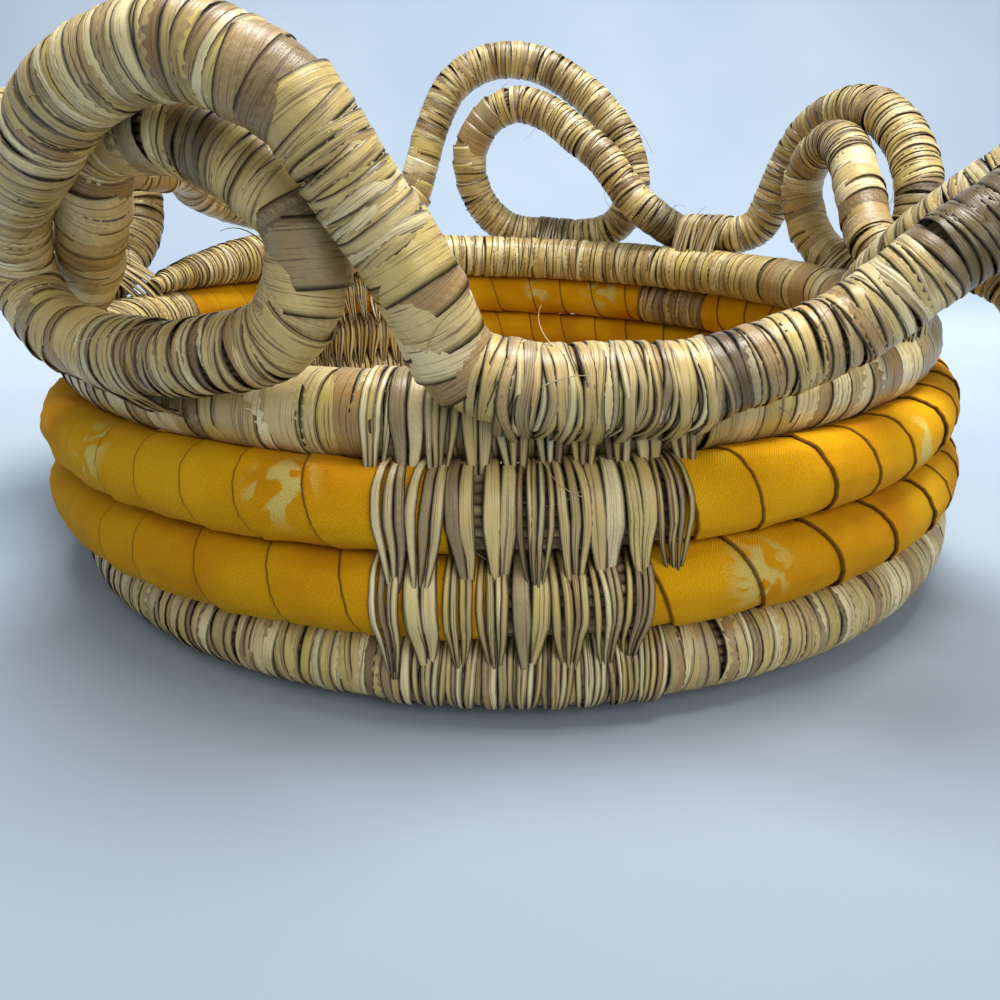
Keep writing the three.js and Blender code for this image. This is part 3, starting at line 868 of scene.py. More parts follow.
def binding_tree():
    tree, given, end = start_tree(
        "strip binding",
        {"Spacing": 6.5 * MM, "Lean": 0.05, "Waver": 0.8 * MM, "Lowest": 0.0},
        [*[(label, "Object") for label in SHAPE_LABELS], SEED, FINISH])
    seed, lean = given["Seed"], given["Lean"]
    spots = spots_along(tree, path_curve(tree, given), given["Spacing"])
    facing = result(tree, "FunctionNodeAxesToRotation",
                    {0: spots["Tangent"], 1: named(tree, "toward", "FLOAT_VECTOR")},
                    primary_axis="Z", secondary_axis="X")
    turned = askew(tree, facing, vector_of(tree, lean, lean, lean), seed)
    shapes = add_node(tree, "GeometryNodeJoinGeometry")
    for label in SHAPE_LABELS:
        info = add_node(tree, "GeometryNodeObjectInfo",
                        {"Object": given[label], "As Instance": True})
        tree.links.new(info.outputs["Geometry"], shapes.inputs[0])
    pick = add_node(tree, "FunctionNodeRandomValue", {4: 0, 5: 2, 8: plus(tree, seed, 5)},
                    data_type="INT").outputs[2]
    size = random_vector(tree, (0.99, 0.99, 0.85), (1.03, 1.03, 1.15), plus(tree, seed, 6))
    laid = result(tree, "GeometryNodeInstanceOnPoints",
                  {"Points": spots["Points"], "Instance": shapes.outputs[0],
                   "Pick Instance": True, "Instance Index": pick, "Rotation": turned,
                   "Scale": size})
    laid = store(tree, laid, "tone", random_number(tree, 0.0, 0.8, plus(tree, seed, 7)),
                 domain="INSTANCE")
    real = result(tree, "GeometryNodeRealizeInstances", {"Geometry": laid})
    real = store(tree, real, "tone", plus(tree, named(tree, "tone"), named(tree, "shift")))
    moved = waver(tree, real, given["Waver"], given["Lowest"])
    return end_tree(tree, end, moved, given["Finish"])


strip_binding = binding_tree()
print("binding nodes:", len(strip_binding.nodes))

# %% [markdown]
# ## Finishes
# Dried leaf is straw coloured with a green or grey cast, striped along its length by fine
# fibres, and a few strips are brown. Both leaf finishes have the same fibre stripes, so the
# stripes are one group. The cotton has a twill weave, which is a second group.


# %% Shader group helpers
def start_group(name, ins, outs):
    """A new group with named inputs and outputs: its inputs and its end."""
    group = bpy.data.node_groups.new(name, "ShaderNodeTree")
    for label, kind in ins:
        group.interface.new_socket(label, in_out="INPUT", socket_type="NodeSocket" + kind)
    for label in outs:
        group.interface.new_socket(label, in_out="OUTPUT", socket_type="NodeSocketFloat")
    given = group.nodes.new("NodeGroupInput").outputs
    return group, given, group.nodes.new("NodeGroupOutput").inputs


def placed(tree, group, values):
    return add_node(tree, "ShaderNodeGroup", values, node_tree=group).outputs


def attribute(tree, name, output="Fac"):
    return add_node(tree, "ShaderNodeAttribute", attribute_name=name).outputs[output]


def chance_of(tree, value):
    """A chance number that stays the same for the same value."""
    return add_node(tree, "ShaderNodeTexWhiteNoise", {"W": value},
                    noise_dimensions="1D").outputs["Value"]


# %% Fibre streaks group
def fibre_group():
    """Fine stripes along a strip, from its place across, its way round and its own tone."""
    group, given, end = start_group(
        "fibre streaks",
        [("Across", "Float"), ("Around", "Vector"), ("Tone", "Float"),
         ("Half Width", "Float"), ("Fineness", "Float")],
        ["Streak", "Patch", "Height"])
    across = times(group, times(group, given["Across"], given["Half Width"]),
                   given["Fineness"])
    own = times(group, given["Tone"], 83.0)
    slow = parts_of(group, scaled(group, given["Around"], 0.4))
    place = vector_of(group, across, slow["X"], slow["Y"])
    fine = cloudy(group, place, 1.4, 3.0, own, Roughness=0.65)["Fac"]
    patch = cloudy(group, scaled(group, given["Around"], 1.1), 1.2, 2.0, own)["Fac"]
    group.links.new(reach(group, fine, 0.36, 0.6), end["Streak"])
    group.links.new(reach(group, patch, 0.35, 0.65), end["Patch"])
    group.links.new(fine, end["Height"])
    return group


fibre_streaks = fibre_group()

# %% Leaf finish
STRAW_PALE = srgb(250, 236, 184)
STRAW = srgb(216, 190, 122)
STRAW_GREEN = srgb(200, 178, 92)
STRAW_GREY = srgb(150, 134, 98)
STRAW_TAN = srgb(164, 128, 76)
LEAF_BROWN = srgb(96, 66, 40)
# Dark leaf for the darkest strips, and painted shade in the gaps between strips.
DARK_LEAF_AND_GAP_SHADE = srgb(42, 28, 20)
BUMP_DEPTH = 0.3 * MM


def leaf_material(name, stops):
    """Dried leaf: a tone for each strip, fibre stripes, weathered patches, and dark edges that
    are partly brown leaf and partly painted shade in the gaps between lapping strips.
    """
    material, tree, shader = start_material(name)
    tone, across, half = [attribute(tree, label) for label in ("tone", "across", "half")]
    streaks = placed(tree, fibre_streaks, {
        "Across": across, "Around": attribute(tree, "around", "Vector"),
        "Half Width": half, "Tone": tone, "Fineness": 2.2})
    base = ramp(tree, chance_of(tree, times(tree, tone, 991.0)), stops)
    weathered = mix(tree, reach(tree, streaks["Patch"], 0, 1, 0, 0.35), base, STRAW_TAN)
    striped = mix(tree, reach(tree, streaks["Streak"], 0, 0.5, 0.8, 0.0), weathered,
                  LEAF_BROWN)
    # Edges darkened: partly the leaf's own brown, partly painted shade in the gaps where strips
    # lap.
    inset = times(tree, maths(tree, "SUBTRACT", 1.0, maths(tree, "ABSOLUTE", across)), half)
    edge_brown_and_gap_shade = mix(tree, reach(tree, inset, 0.1, 0.62, 0.93, 0.0), striped, DARK_LEAF_AND_GAP_SHADE)
    shaded = mix(tree, attribute(tree, "shade"), edge_brown_and_gap_shade, mix(tree, 0.75, edge_brown_and_gap_shade, DARK_LEAF_AND_GAP_SHADE))
    dress(tree, shader, shaded, reach(tree, streaks["Streak"], 0, 1, 0.5, 0.24),
          streaks["Height"], 0.6, BUMP_DEPTH)
    return material


leaf = leaf_material("leaf", [
    (0.0, STRAW_GREY), (0.2, STRAW), (0.42, STRAW_PALE), (0.58, STRAW_GREEN),
    (0.76, STRAW), (0.87, STRAW_TAN), (0.95, STRAW_GREY), (1.0, LEAF_BROWN)])
leaf_floor = leaf_material("leaf_floor", [
    (0.0, STRAW_TAN), (0.3, STRAW_GREY), (0.6, STRAW), (0.88, LEAF_BROWN)])
print("leaf nodes:", len(leaf.node_tree.nodes))

# %% Stem finish
STEM_TANS = [(0.0, srgb(112, 84, 56)), (0.5, srgb(146, 116, 78)), (1.0, srgb(184, 160, 118))]
# Painted shade for the furrows between stems.
FURROW_SHADE = srgb(40, 28, 20)
SPECK_BROWN = srgb(70, 50, 36)


def stem_material():
    """Bare stems: each lobe has its own tan, with painted shade in the furrows between them."""
    material, tree, shader = start_material("grass_bundle")
    stem = attribute(tree, "stem")
    base = ramp(tree, chance_of(tree, maths(tree, "FLOOR", stem)), STEM_TANS)
    middle = plus(tree, maths(tree, "FRACT", stem), -0.5)
    side = maths(tree, "ABSOLUTE", middle)
    # Painted shade: darker towards the furrows, where two stems meet.
    furrow_shaded = mix(tree, reach(tree, side, 0.3, 0.5, 0, 0.85), base, FURROW_SHADE)
    speck = cloudy(tree, place_on(tree), 300.0, 3.0)["Fac"]
    mottled = mix(tree, reach(tree, speck, 0.4, 0.7, 0, 0.6), furrow_shaded, SPECK_BROWN)
    dress(tree, shader, mottled, reach(tree, speck, 0.3, 0.7, 0.6, 0.85), speck, 0.4,
          BUMP_DEPTH)
    return material


stems = stem_material()
print("stem nodes:", len(stems.node_tree.nodes))


# %% Twill group
def twill_group():
    """Slanting ribs of twill, from a place on the cloth in millimetres."""
    group, given, end = start_group(
        "twill weave", [("Place", "Vector"), ("Rib Width", "Float")], ["Height", "Thread"])
    place = parts_of(group, given["Place"])
    slant = plus(group, place["X"], place["Y"])
    cycles = maths(group, "DIVIDE", slant, given["Rib Width"])
    rib = maths(group, "SINE", times(group, cycles, FULL_TURN))
    cross = maths(group, "DIVIDE", place["X"], given["Rib Width"])
    yarn = maths(group, "SINE", times(group, cross, FULL_TURN * 1.7))
    both = maths(group, "MULTIPLY_ADD", yarn, 0.35, rib)
    fuzz = cloudy(group, given["Place"], 2.2, 4.0)["Fac"]
    group.links.new(reach(group, both, -1.35, 1.35), end["Height"])
    group.links.new(reach(group, fuzz, 0.3, 0.7), end["Thread"])
    return group


twill_weave = twill_group()

# %% Cloth finish
RIB_WIDTH = 0.62
OCHRE_BRIGHT = srgb(252, 200, 30)
OCHRE = srgb(246, 184, 2)
OCHRE_DEEP = srgb(220, 146, 0)
# Painted shade for the cloth towards the basket's left.
OCHRE_LEFT_SHADE = srgb(196, 148, 6)
# Painted shade for the lowest cloth, under the row above.
OCHRE_UNDER_ROW_SHADE = srgb(140, 92, 4)
# Painted shade for the grooves between twill ribs.
RIB_GROOVE_SHADE = srgb(160, 100, 4)
THREAD_DARK = srgb(150, 98, 4)
# Painted shadow along each lap's folded edge.
FOLD_SHADOW = srgb(84, 46, 8)
BLOTCH_PALE = srgb(232, 224, 130)
# Each blotch is its middle and its size in millimetres.
blotches = [(-46, -141, 54, 8), (-99, -110, 52, 8), (55, -139, 35, 8), (16, 128, 62, 6),
            (46, 119, 62, 9), (102, -105, 54, 6)]


def blotch_cover(tree, place):
    """Near the middle of any blotch, with an edge as ragged as wax leaves it."""
    cover = None
    for x, y, z, size in blotches:
        gap = add_node(tree, "ShaderNodeVectorMath", {0: place, 1: (x * MM, y * MM, z * MM)},
                       operation="DISTANCE").outputs["Value"]
        near = reach(tree, gap, size * MM * 1.25, size * MM * 0.6)
        cover = near if cover is None else maths(tree, "MAXIMUM", cover, near)
    wax = cloudy(tree, place, 120.0, 1.5, Distortion=1.2)["Fac"]
    return times(tree, times(tree, cover, reach(tree, wax, 0.47, 0.53)), 0.85)


def cloth_material():
    """Ochre cotton twill: uneven dye, thread tones and a few pale blotches, with painted shade
    towards the left, low down and in the grooves between ribs, and a painted shadow along each
    folded edge.
    """
    material, tree, shader = start_material("cloth")
    place = place_on(tree)
    shader.inputs["Specular IOR Level"].default_value = 0.15
    weave = placed(tree, twill_weave,
                   {"Place": attribute(tree, "weave", "Vector"), "Rib Width": RIB_WIDTH})
    colour = ramp(tree, cloudy(tree, place, 42.0, 3.0)["Fac"],
                  [(0.32, OCHRE_DEEP), (0.55, OCHRE), (0.78, OCHRE_BRIGHT)])
    at = parts_of(tree, place)
    for share, over in (
            # Painted shade: the cloth darker towards the basket's left.
            (reach(tree, at["X"], -0.16, 0.02, 0.45, 0.0), OCHRE_LEFT_SHADE),
            (blotch_cover(tree, place), BLOTCH_PALE),
            # Painted shade: the lowest cloth darkened under the row above.
            (reach(tree, at["Z"], 0.025, 0.055, 0.3, 0.0), OCHRE_UNDER_ROW_SHADE),
            # Painted shade in the grooves between the ribs.
            (reach(tree, weave["Height"], 0, 1, 0.42, 0.0), RIB_GROOVE_SHADE),
            (reach(tree, weave["Thread"], 0, 1, 0.4, 0.0), THREAD_DARK),
            # Painted shadow along each lap's folded edge.
            (times(tree, attribute(tree, "fold_shadow"), 0.85), FOLD_SHADOW)):
        colour = mix(tree, share, colour, over)
    dress(tree, shader, colour, reach(tree, weave["Thread"], 0, 1, 0.82, 0.95),
          weave["Height"], 0.5, 0.18 * MM)
    return material


cloth = cloth_material()
print("cloth nodes:", len(cloth.node_tree.nodes))


# %% [markdown]
# ## Floor and wall
# Every length of coil is its bundle and what is wound on it. The floor's bands are held
# above the ground, which flattens them where the basket's weight would press them flat.

# %% A wound length of coil
def keep_piece(piece, slot, *nodes):
    """Rides on the one body and stands for its solids. Its slot is not used."""
    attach(piece, "root")
    if nodes:
        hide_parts(*nodes)
    print(piece.name, sum(len(p.vertices) - 2 for p in piece.data.polygons), "triangles")


def wind(name, points, radius, seed, finish=leaf, broad=(), dark=(), size=1.0, strips=None):
    """Leaf bands along a line. broad and dark are shares of the line's length."""
    count = len(points)
    path = path_object(points, {"wide": ranges(count, broad), "shade": ranges(count, dark),
                                "size": np.ones(count) * size})
    return grow(name, path, leaf_winding,
                {"Band Radius": radius, "Seed": seed, "Finish": finish, **(strips or {})})


def bundle(name, points, radius, size=1.0):
    path = path_object(points, {"size": np.ones(len(points)) * size})
    return grow(name, path, stem_bundle, {"Bundle Radius": radius, "Finish": stems})


# %% Floor
FLOOR_STRIPS = {"Strip Spacing": 3.4 * MM, "Strip Width": 4.4 * MM,
                "Strip Thickness": 1.1 * MM, "Lean": 0.1}
FILL_HEIGHT = 5.2 * MM
FILL_RADIUS = 4.6 * MM
halfway = len(floor_line) // 2
floor_parts = [("inner", floor_line[:halfway + 1], ("floor_coil",)),
               ("outer", floor_line[halfway:], ())]
for seed, (name, line, nodes) in enumerate(floor_parts, 11):
    floor_piece = wind(f"floor_winding_{name}", line, COIL_RADIUS - 0.3 * MM, seed, leaf_floor,
                       strips=FLOOR_STRIPS)
    keep_piece(floor_piece, "leaf_floor", *nodes)
keep_piece(bundle("floor_bundle", floor_line[4::2], COIL_RADIUS - 1.9 * MM), "grass_bundle")
for name, radius, first, last in (("inner", 12.5 * MM, 0, 360), ("outer", 16.3 * MM, 60, 320)):
    line = [around(degrees, radius, FILL_HEIGHT) for degrees in range(first, last + 1, 10)]
    fill = wind(f"floor_centre_fill_{name}", np.array(line), FILL_RADIUS, 15, leaf_floor)
    keep_piece(fill, "leaf_floor")

# %% Where the bindings change, in turns of the coil
BASE_LAST_TURN = 1.5
LOWER_BARE = (2 - 0.002, 2 + 0.031)
UPPER_BARE = (3 - 0.012, 3 + 0.0385)
BACK_LEAF = (3 + 9 / 24, 3 + 10 / 24)
RIM_FIRST_TURN = 3 + 17 / 24
COIL_TIP_TURN = WALL_LAST_TURN + 0.02

# %% Wall bundle, base row and rim
WOUND_RADIUS = COIL_RADIUS + 0.15 * MM
UNDER_BINDING = 2.1 * MM
TAPER_LENGTH = 60 * MM
TIP_SIZE = 0.3
FULLER_AT_FRONT = 1.14


def tapered(points):
    """The coil's end: the line sunk as it thins, and how thick it is at each point."""
    at = walked(points)
    size = TIP_SIZE + (1 - TIP_SIZE) * np.clip((at[-1] - at) / TAPER_LENGTH, 0, 1) ** 0.8
    return points - np.outer((1 - size) * COIL_RADIUS * 1.1, (0, 0, 1)), size


wall_line, wall_size = tapered(coil_run(WALL_FIRST_TURN, COIL_TIP_TURN))
wall_turns = np.linspace(WALL_FIRST_TURN, COIL_TIP_TURN, len(wall_line))
for first, last in (LOWER_BARE, UPPER_BARE):
    wall_size[(wall_turns > first) & (wall_turns < last)] *= FULLER_AT_FRONT
wall_bundle = bundle("wall_bundle", wall_line, COIL_RADIUS - UNDER_BINDING, wall_size)
keep_piece(wall_bundle, "grass_bundle", "wall_coil_core")
base_row = wind("base_row_winding", coil_run(WALL_FIRST_TURN, BASE_LAST_TURN), WOUND_RADIUS, 21,
                strips={"Strip Spacing": 1.8 * MM, "Strip Width": 3.2 * MM})
keep_piece(base_row, "leaf", "leaf_wrap_base_row")
rim_line, rim_size = tapered(coil_run(RIM_FIRST_TURN, COIL_TIP_TURN))
rim = wind("rim_winding", rim_line, WOUND_RADIUS, 31, size=rim_size,
           broad=((0.1, 0.27), (0.33, 0.62)), dark=((0.365, 0.372),))
keep_piece(rim, "leaf", "leaf_wrap_rim")
back_winding = wind("back_winding", coil_run(*BACK_LEAF), WOUND_RADIUS, 41, leaf_floor)
keep_piece(back_winding, "leaf", "leaf_wrap_back")

# %% [markdown]
# ## Cloth
# A strip of cotton about as wide as two fingers is wound over the bundle with its edge
# folded under. Each turn laps the last, so a slanting edge shows every 17 millimetres or so.
# The strip is built flat in thought, place along and place across, and each point is then
# laid round the bundle. That keeps the weave true to the thread and the cut's real area.

# %% Cloth sizes
CLOTH_WIDTH = 25 * MM
CLOTH_PITCH = 17.5 * MM
CLOTH_STEPS = 44
# How much of the strip's width at its folded edge takes the painted shadow.
FOLD_SHADOW_SHARE = 0.03
CREASE_SHARE = 0.3
NOTHING = 1e-6
# Shares of the strip's width, and how proud the cloth lies there in millimetres.
cloth_columns = [
    (0.0, 0.35), (0.012, 0.75), (0.035, 0.85), (0.1, 0.7), (0.25, 0.5), (0.38, 0.42),
    (0.52, 0.35), (0.66, 0.2), (0.82, -0.25), (1.0, -0.4),
]


# %% Points of a wound strip
def cloth_points(line, seed):
    """Rows across the strip: corners, places on the weave, where the painted shadow at the
    folded edge goes, and how many turns.
    """
    ahead, outs = outward_of(line)
    ups = np.cross(ahead, outs)
    at = walked(line)
    chance = random.Random(seed)
    laps = [chance.uniform(0.75, 1.3) for _ in range(int(at[-1] / CLOTH_PITCH) + 6)]
    starts = np.concatenate(([0], np.cumsum(laps))) * CLOTH_PITCH - 2 * CLOTH_PITCH
    turns = int(np.searchsorted(starts, at[-1])) + 1
    corners, weave, fold_shadows = [], [], []
    for row in range(turns * CLOTH_STEPS + 1):
        turn = row / CLOTH_STEPS
        back = float(np.interp(turn, range(len(starts)), starts))
        angle = FULL_TURN * turn
        ring = Vector((math.cos(angle), math.sin(angle), 0))
        for share, lift in cloth_columns:
            s = min(max(back + share * CLOTH_WIDTH, 0.0), at[-1])
            centre, out, up = [Vector(read_off(s, at, rows)) for rows in (line, outs, ups)]
            soft = noise.noise(Vector((s * 110, seed, 0)) + ring.zxy * 1.2)
            pull = noise.noise(Vector((s * 45, seed + 7, 0)) + ring.zxy * 5.0)
            crease = max(1 - share / CREASE_SHARE, 0)
            rise = lift * 0.8 + soft * 0.45 + pull * (0.25 + 0.2 * crease)
            radius = COIL_RADIUS - 0.02 * MM + rise * MM
            side = out * math.cos(angle) + up * math.sin(angle)
            corners.append(centre + side * radius)
            weave.append((angle * COIL_RADIUS / MM, share * CLOTH_WIDTH / MM, 0.0))
            fold_shadows.append(1.0 if share < FOLD_SHADOW_SHARE else 0.0)
    return corners, weave, fold_shadows, turns


def drop_pressed_faces(mesh):
    """Faces that the clean cut at each end has pressed to nothing are taken away."""
    shape = bmesh.new()
    shape.from_mesh(mesh)
    flat = [face for face in shape.faces if face.calc_area() < 1e-9]
    bmesh.ops.delete(shape, geom=flat, context="FACES")
    loose = [v for v in shape.verts if not v.link_faces]
    bmesh.ops.delete(shape, geom=loose, context="VERTS")
    shape.to_mesh(mesh)
    shape.free()


# %% A wound strip of cloth
def wound_cloth(name, first, last, seed):
    """A strip of cloth wound over the coil between two turns."""
    corners, weave, fold_shadows, turns = cloth_points(coil_run(first, last, 360), seed)
    across = len(cloth_columns)
    faces = []
    for row in range(turns * CLOTH_STEPS):
        for a in range(row * across, row * across + across - 1):
            if a == row * across or (corners[a] - corners[a + 1]).length > NOTHING:
                faces.append((a, a + 1, a + 1 + across, a + across))
    piece = mesh_object(f"cloth_{name}", corners, [], faces, {"fold_shadow": fold_shadows}, {"weave": weave})
    piece.data.materials.append(cloth)
    drop_pressed_faces(piece.data)
    keep_piece(piece, "cloth", f"cloth_wrap_{name}")


# %% The four cloth lengths
cloth_lengths = [("lower_left", BASE_LAST_TURN, LOWER_BARE[0], 3),
                 ("right_and_back", LOWER_BARE[1], UPPER_BARE[0], 5),
                 ("upper_right", UPPER_BARE[1], BACK_LEAF[0], 8),
                 ("upper_back", BACK_LEAF[1], RIM_FIRST_TURN, 9)]
for name, first, last, seed in cloth_lengths:
    wound_cloth(name, first, last, seed)

# %% [markdown]
# ## Stitches
# At the front the cloth stops short and the rows are sewn through. Each stitch starts as
# two to five strips in the upper crease and ends in one hole in the lower crease. The same
# stitches show on the inside of three rows at the left back.

# %% Paths round the row
STITCH_RADIUS = COIL_RADIUS + 0.85 * MM
SAG = 0.9 * MM
TUCK = 2.4 * MM
UNDER_ROW = 96


def on_circle(start, finish, count):
    """Points on the circle that the strips lie on, between two angles in radians."""
    angles = np.linspace(start, finish, count)
    return np.stack((np.cos(angles), np.sin(angles)), axis=1) * STITCH_RADIUS


def stitch_path(away, down, start, entry):
    """Over this coil's outside, across the crease, and in a little way down the next."""
    touch = math.atan2(-down, -away)
    goes_in = touch + math.radians(entry)
    last = np.array((away + STITCH_RADIUS * math.cos(goes_in),
                     down + STITCH_RADIUS * math.sin(goes_in)))
    leave = math.atan2(last[1], last[0]) - math.acos(STITCH_RADIUS / np.linalg.norm(last))
    arc = on_circle(math.radians(start), leave, 10)
    share = np.linspace(0, 1, 8)[1:, None]
    across = arc[-1] * (1 - share) + last * share
    inward = np.array((away, down)) / 2 - (arc[-1] + last) / 2
    across = across + inward / np.linalg.norm(inward) * SAG * np.sin(math.pi * share)
    tucked = last - TUCK * np.array((math.cos(goes_in), math.sin(goes_in) - 0.5))
    return np.concatenate((arc, across, [tucked]))


# %% Stitch shapes
STITCH_SPREAD = 6.6 * MM


def stitch_strip(flat, places, high, width):
    """One strip over a row. Its places along the row are at its top, middle and tip."""
    top, middle, low = places
    points, widths = [], []
    for step, (x, y) in enumerate(flat):
        t = step / (len(flat) - 1)
        bow = math.sin(math.pi * t)
        shift = (top * (1 - t) ** 2 + 2 * middle * (1 - t) * t + low * t * t)
        shift += (middle - (top + low) / 2) * bow * 0.6
        lift = 1 + high * bow / STITCH_RADIUS
        points.append((x * lift, y * lift, shift))
        taper = 1 - 0.6 * max(t - 0.55, 0) / 0.45
        widths.append(width * (0.7 + 0.4 * bow) * taper)
    ways = np.gradient(np.array(points), axis=0)
    outward = np.stack((ways[:, 1], -ways[:, 0], 0 * ways[:, 0]), axis=1)
    return strip(points, outward, widths, STRIP_THICKNESS)


def stitch_shape(seed, away, down, start):
    """Two to five strips that lie side by side and go in together at a narrow tip."""
    chance = random.Random(seed)
    strips = []
    count = chance.choice((2, 3, 4, 5))
    tip = chance.uniform(-0.9, 0.9) * MM
    for number in range(count):
        share = (number + 0.5) / count - 0.5
        top = share * STITCH_SPREAD * 0.75 + chance.uniform(-0.5, 0.5) * MM
        middle = share * STITCH_SPREAD + chance.uniform(-0.4, 0.4) * MM
        low = tip + share * 1.3 * MM
        high = chance.uniform(0, 0.45) * MM
        if down:
            flat = stitch_path(away, down, start, 68 + chance.uniform(-9, 7))
        else:
            flat = on_circle(math.radians(start), math.radians(UNDER_ROW), 18)
        strips.append(stitch_strip(flat, (top, middle, low), high, STITCH_SPREAD / count))
    return shape_object("shape", strips)


def bind(name, points, toward, shapes, shade, sizes):
    """Shapes set along a line, each turned toward a direction that the line carries."""
    path = path_object(points, {"shade": np.full(len(points), shade)}, {"toward": toward})
    return grow(name, path, strip_binding,
                {**dict(zip(SHAPE_LABELS, shapes)), "Finish": leaf, "Waver": 0.9 * MM, **sizes})


# %% Rows of stitches
STITCH_SPACING = 6.3 * MM
# A row's name, its first and last turn, how far in and down the row below it lies in
# millimetres, and where its strips start in degrees. Inner rows are walked backwards.
stitched_rows = [
    ("rim_front", 4 - 0.03, 4 + 0.041, 5.5, 17.9, -150),
    ("front_upper", 3 - 0.024, 3 + 0.0375, 0.0, 19.1, -108),
    ("front_lower", 2 - 0.026, 2 + 0.0305, -4, 18.5, -104),
    ("base_front", 1 - 0.024, 1 + 0.036, 0.0, 0.0, -100),
    ("inner_upper", 3.575, 3.625, 5.5, 17.6, -60),
    ("inner_middle", 2.53, 2.622, 0.0, 19.1, -112),
    ("inner_lower", 1.5, 1.66, -3, 18.0, -112),
]
drawn = []
for number, (name, first, last, away, down, start) in enumerate(stitched_rows):
    shapes = [stitch_shape(seed + 20 * number, away * MM, down * MM, start)
              for seed in (2, 5, 8)]
    points = coil_run(first, last, 720)
    outward = outward_of(points)[1]
    if name.startswith("inner"):
        points, outward = points[::-1], -outward[::-1]
    piece = bind(f"{name}_stitches", points, outward, shapes, 0.0,
                 {"Spacing": STITCH_SPACING, "Seed": 50 + number, "Lean": 0.07})
    nodes = [f"leaf_wrap_{name}"] if name in ("front_upper", "front_lower") else []
    keep_piece(piece, "leaf", *nodes)
    drawn += shapes

# %% [markdown]
# ## Border
# Each loop is a bundle wound with leaf. Broad leaf covers the legs, and narrow strips the
# tops. A lashing holds each loop's foot to the rim, and another each valley.

# %% Border winding
BORDER_STRIPS = {"Strip Spacing": 1.3 * MM, "Strip Width": 2.6 * MM, "Lean": 0.16}
border_looks = {
    "front_left": dict(broad=((0.055, 0.12), (0.165, 0.2), (0.45, 0.53), (0.625, 0.7),
                              (0.75, 0.8), (0.83, 0.94)),
                       dark=((0.216, 0.226), (0.283, 0.295), (0.338, 0.345), (0.715, 0.74))),
    "left_back": dict(broad=((0.1, 0.2), (0.6, 0.75))),
    "back": dict(broad=((0.07, 0.14), (0.66, 0.74)), dark=((0.3, 0.31), (0.93, 0.98))),
    "back_right": dict(broad=((0.58, 0.72), (0.82, 0.92)), dark=((0.4, 0.42),)),
    "front_right": dict(dark=((0.806, 0.856), (0.938, 0.968))),
}
for number, (loop, run) in enumerate(zip(loops, border_runs)):
    name = loop["name"]
    winding = wind(f"border_winding_{name}", run, BORDER_RADIUS - 0.1 * MM, 60 + 10 * number,
                   strips=BORDER_STRIPS, **border_looks[name])
    keep_piece(winding, "leaf", f"leaf_wrap_loop_{name}")
    stalk = bundle(f"border_bundle_{name}", run[:-1], BORDER_RADIUS - UNDER_BINDING)
    keep_piece(stalk, "grass_bundle", f"border_core_{name}")

# %% Lashing shapes
LASH_STEPS = 28
LASH_RADIUS = BORDER_RADIUS + 0.55 * MM
LASH_FAR_RADIUS = 7.6 * MM
LASH_REACH = 12 * MM


def lashing_shape(seed):
    """One strip round the border and down into the rim: a loop drawn out to one side."""
    chance = random.Random(seed)
    points, outward = [], []
    lean = chance.uniform(-0.8, 0.8) * MM
    for step in range(LASH_STEPS + 1):
        a = FULL_TURN * step / LASH_STEPS
        x, y = math.cos(a), math.sin(a)
        stretch = max(x, 0) ** 0.6
        radius = LASH_RADIUS * (1 - stretch) + LASH_FAR_RADIUS * stretch
        points.append((radius * x + LASH_REACH * stretch, radius * y,
                       lean * math.sin(a + 1) + 0.3 * MM * math.sin(3 * a + seed)))
        outward.append((x, y, 0.0))
    widths = [chance.uniform(1.4, 3.0) * MM] * len(points)
    return shape_object("shape", [strip(points, np.array(outward), widths, STRIP_THICKNESS)])


lashings = [lashing_shape(seed) for seed in (1, 4, 9)]


def lash(kind, place, line, inward, seed, shade, spacing=1.25 * MM):
    """Strips round the border and the rim along a short line, at a foot or in a valley."""
    out, lift = rest_offset(inward)
    toward = unit(-unit(line * (1, 1, 0)) * out - np.array((0, 0, lift)))
    piece = bind(f"{kind}_lashing_{place}", line, toward, lashings, shade,
                 {"Spacing": spacing, "Seed": seed, "Lean": 0.12})
    keep_piece(piece, "leaf", f"lashing_{kind}_{place}")


def stretch_about(run, middle, length):
    """The part of a line within half a length of its point nearest to a place."""
    at = walked(run)
    nearest = at[int(np.argmin(np.linalg.norm(run - middle, axis=1)))]
    want = np.linspace(nearest - length / 2, nearest + length / 2, 13)
    return read_off(np.clip(want, 0, at[-1]), at, run)


# %% Lashings at the feet and in the valleys
FOOT_SHARE = -0.25
FOOT_LASH_LENGTH = 15 * MM
VALLEY_LASH_LENGTH = 21 * MM
VALLEY_POINTS = 14
for number, (loop, run) in enumerate(zip(loops, border_runs)):
    name = loop["name"]
    foot_place = border_point(loop, FOOT_SHARE, 0, loop["foot"])
    foot = stretch_about(run, foot_place, FOOT_LASH_LENGTH)
    lash("foot", name, foot, loop["foot"], 120 + number, 0.8 if name == "back" else 0.1)
valley_lengths = {"front": 40 * MM, "left": 11 * MM}
valley_shades = {"back_right": 0.35, "left": 0.4, "right": 0.75}
valley_spacings = {"left": 0.9 * MM}
for number, name in enumerate(("front", "left", "back_left", "back_right", "right")):
    before, here = border_runs[number - 1], border_runs[number]
    both = np.concatenate((before[-VALLEY_POINTS:-1], here[:VALLEY_POINTS]))
    valley = stretch_about(both, here[0], valley_lengths.get(name, VALLEY_LASH_LENGTH))
    lash("valley", name, valley, loops[number]["start_inward"], 140 + number,
         valley_shades.get(name, 0.05), valley_spacings.get(name, 1.25 * MM))

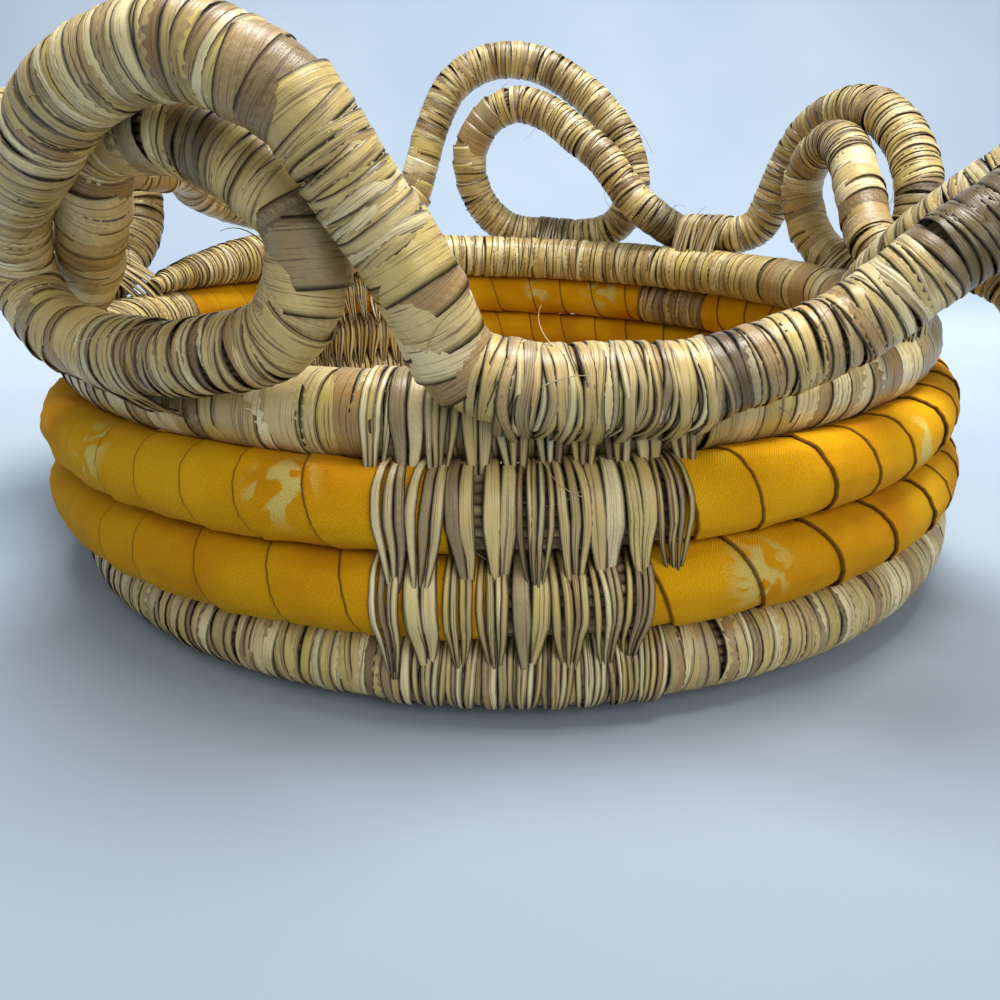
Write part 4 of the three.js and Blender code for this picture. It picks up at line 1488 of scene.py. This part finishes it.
# %% Stray fibres
FIBRE_STEPS = 8
FIBRE_WIDTH = 0.34 * MM
FIBRE_THICKNESS = 0.14 * MM
FIBRE_COUNT = 90
# Fibres take the finish's fine stripes as if they were strips four millimetres wide.
STRIPED_HALF_WIDTH = 2.0


def stray_fibre(place, away, ahead, chance):
    """One thin fibre that has come loose from the coil and curls away from it."""
    length = chance.uniform(4, 14) * MM
    lift = chance.uniform(0.1, 0.6)
    curl = chance.uniform(-1.6, 1.6)
    side = np.cross(away, ahead)
    points, widths = [], []
    for step in range(FIBRE_STEPS + 1):
        t = step / FIBRE_STEPS
        way = ahead * math.cos(curl * t) + side * math.sin(curl * t)
        points.append(place + way * length * t + away * length * lift * t * (1 - t / 2))
        widths.append(FIBRE_WIDTH * (1 - 0.7 * t))
    return strip(points, np.array([away] * len(points)), widths, FIBRE_THICKNESS)


def scatter_fibres(lines, count, seed):
    """Fibres at chance places round each line, which is a middle line and its radius."""
    chance = random.Random(seed)
    made = []
    for _ in range(count):
        points, radius = chance.choice(lines)
        tangents, outs = outward_of(points)
        k = chance.randrange(3, len(points) - 3)
        turned = chance.uniform(0, FULL_TURN)
        up = np.cross(tangents[k], outs[k])
        away = outs[k] * math.cos(turned) + up * math.sin(turned)
        ahead = tangents[k] * chance.choice((-1, 1)) + np.cross(tangents[k], away) * 0.8
        made.append(stray_fibre(points[k] + away * radius, away, ahead, chance))
    return shape_object("stray_fibres", made)


loose_lines = [(run, BORDER_RADIUS) for run in border_runs + border_runs[:1]]
loose_lines += [(coil_run(3.9, 4.1), COIL_RADIUS), (coil_run(2.975, 3.04), COIL_RADIUS)]
fibres = scatter_fibres(loose_lines, FIBRE_COUNT, 17)
numbers = fibres.data.attributes
numbers["shift"].name = "tone"
numbers["half"].data.foreach_set("value", [STRIPED_HALF_WIDTH] * len(fibres.data.vertices))
fibres.data.materials.append(leaf)
keep_piece(fibres, "leaf")

# %% Away with the drawn shapes
for shape in drawn + lashings:
    bpy.data.objects.remove(shape)
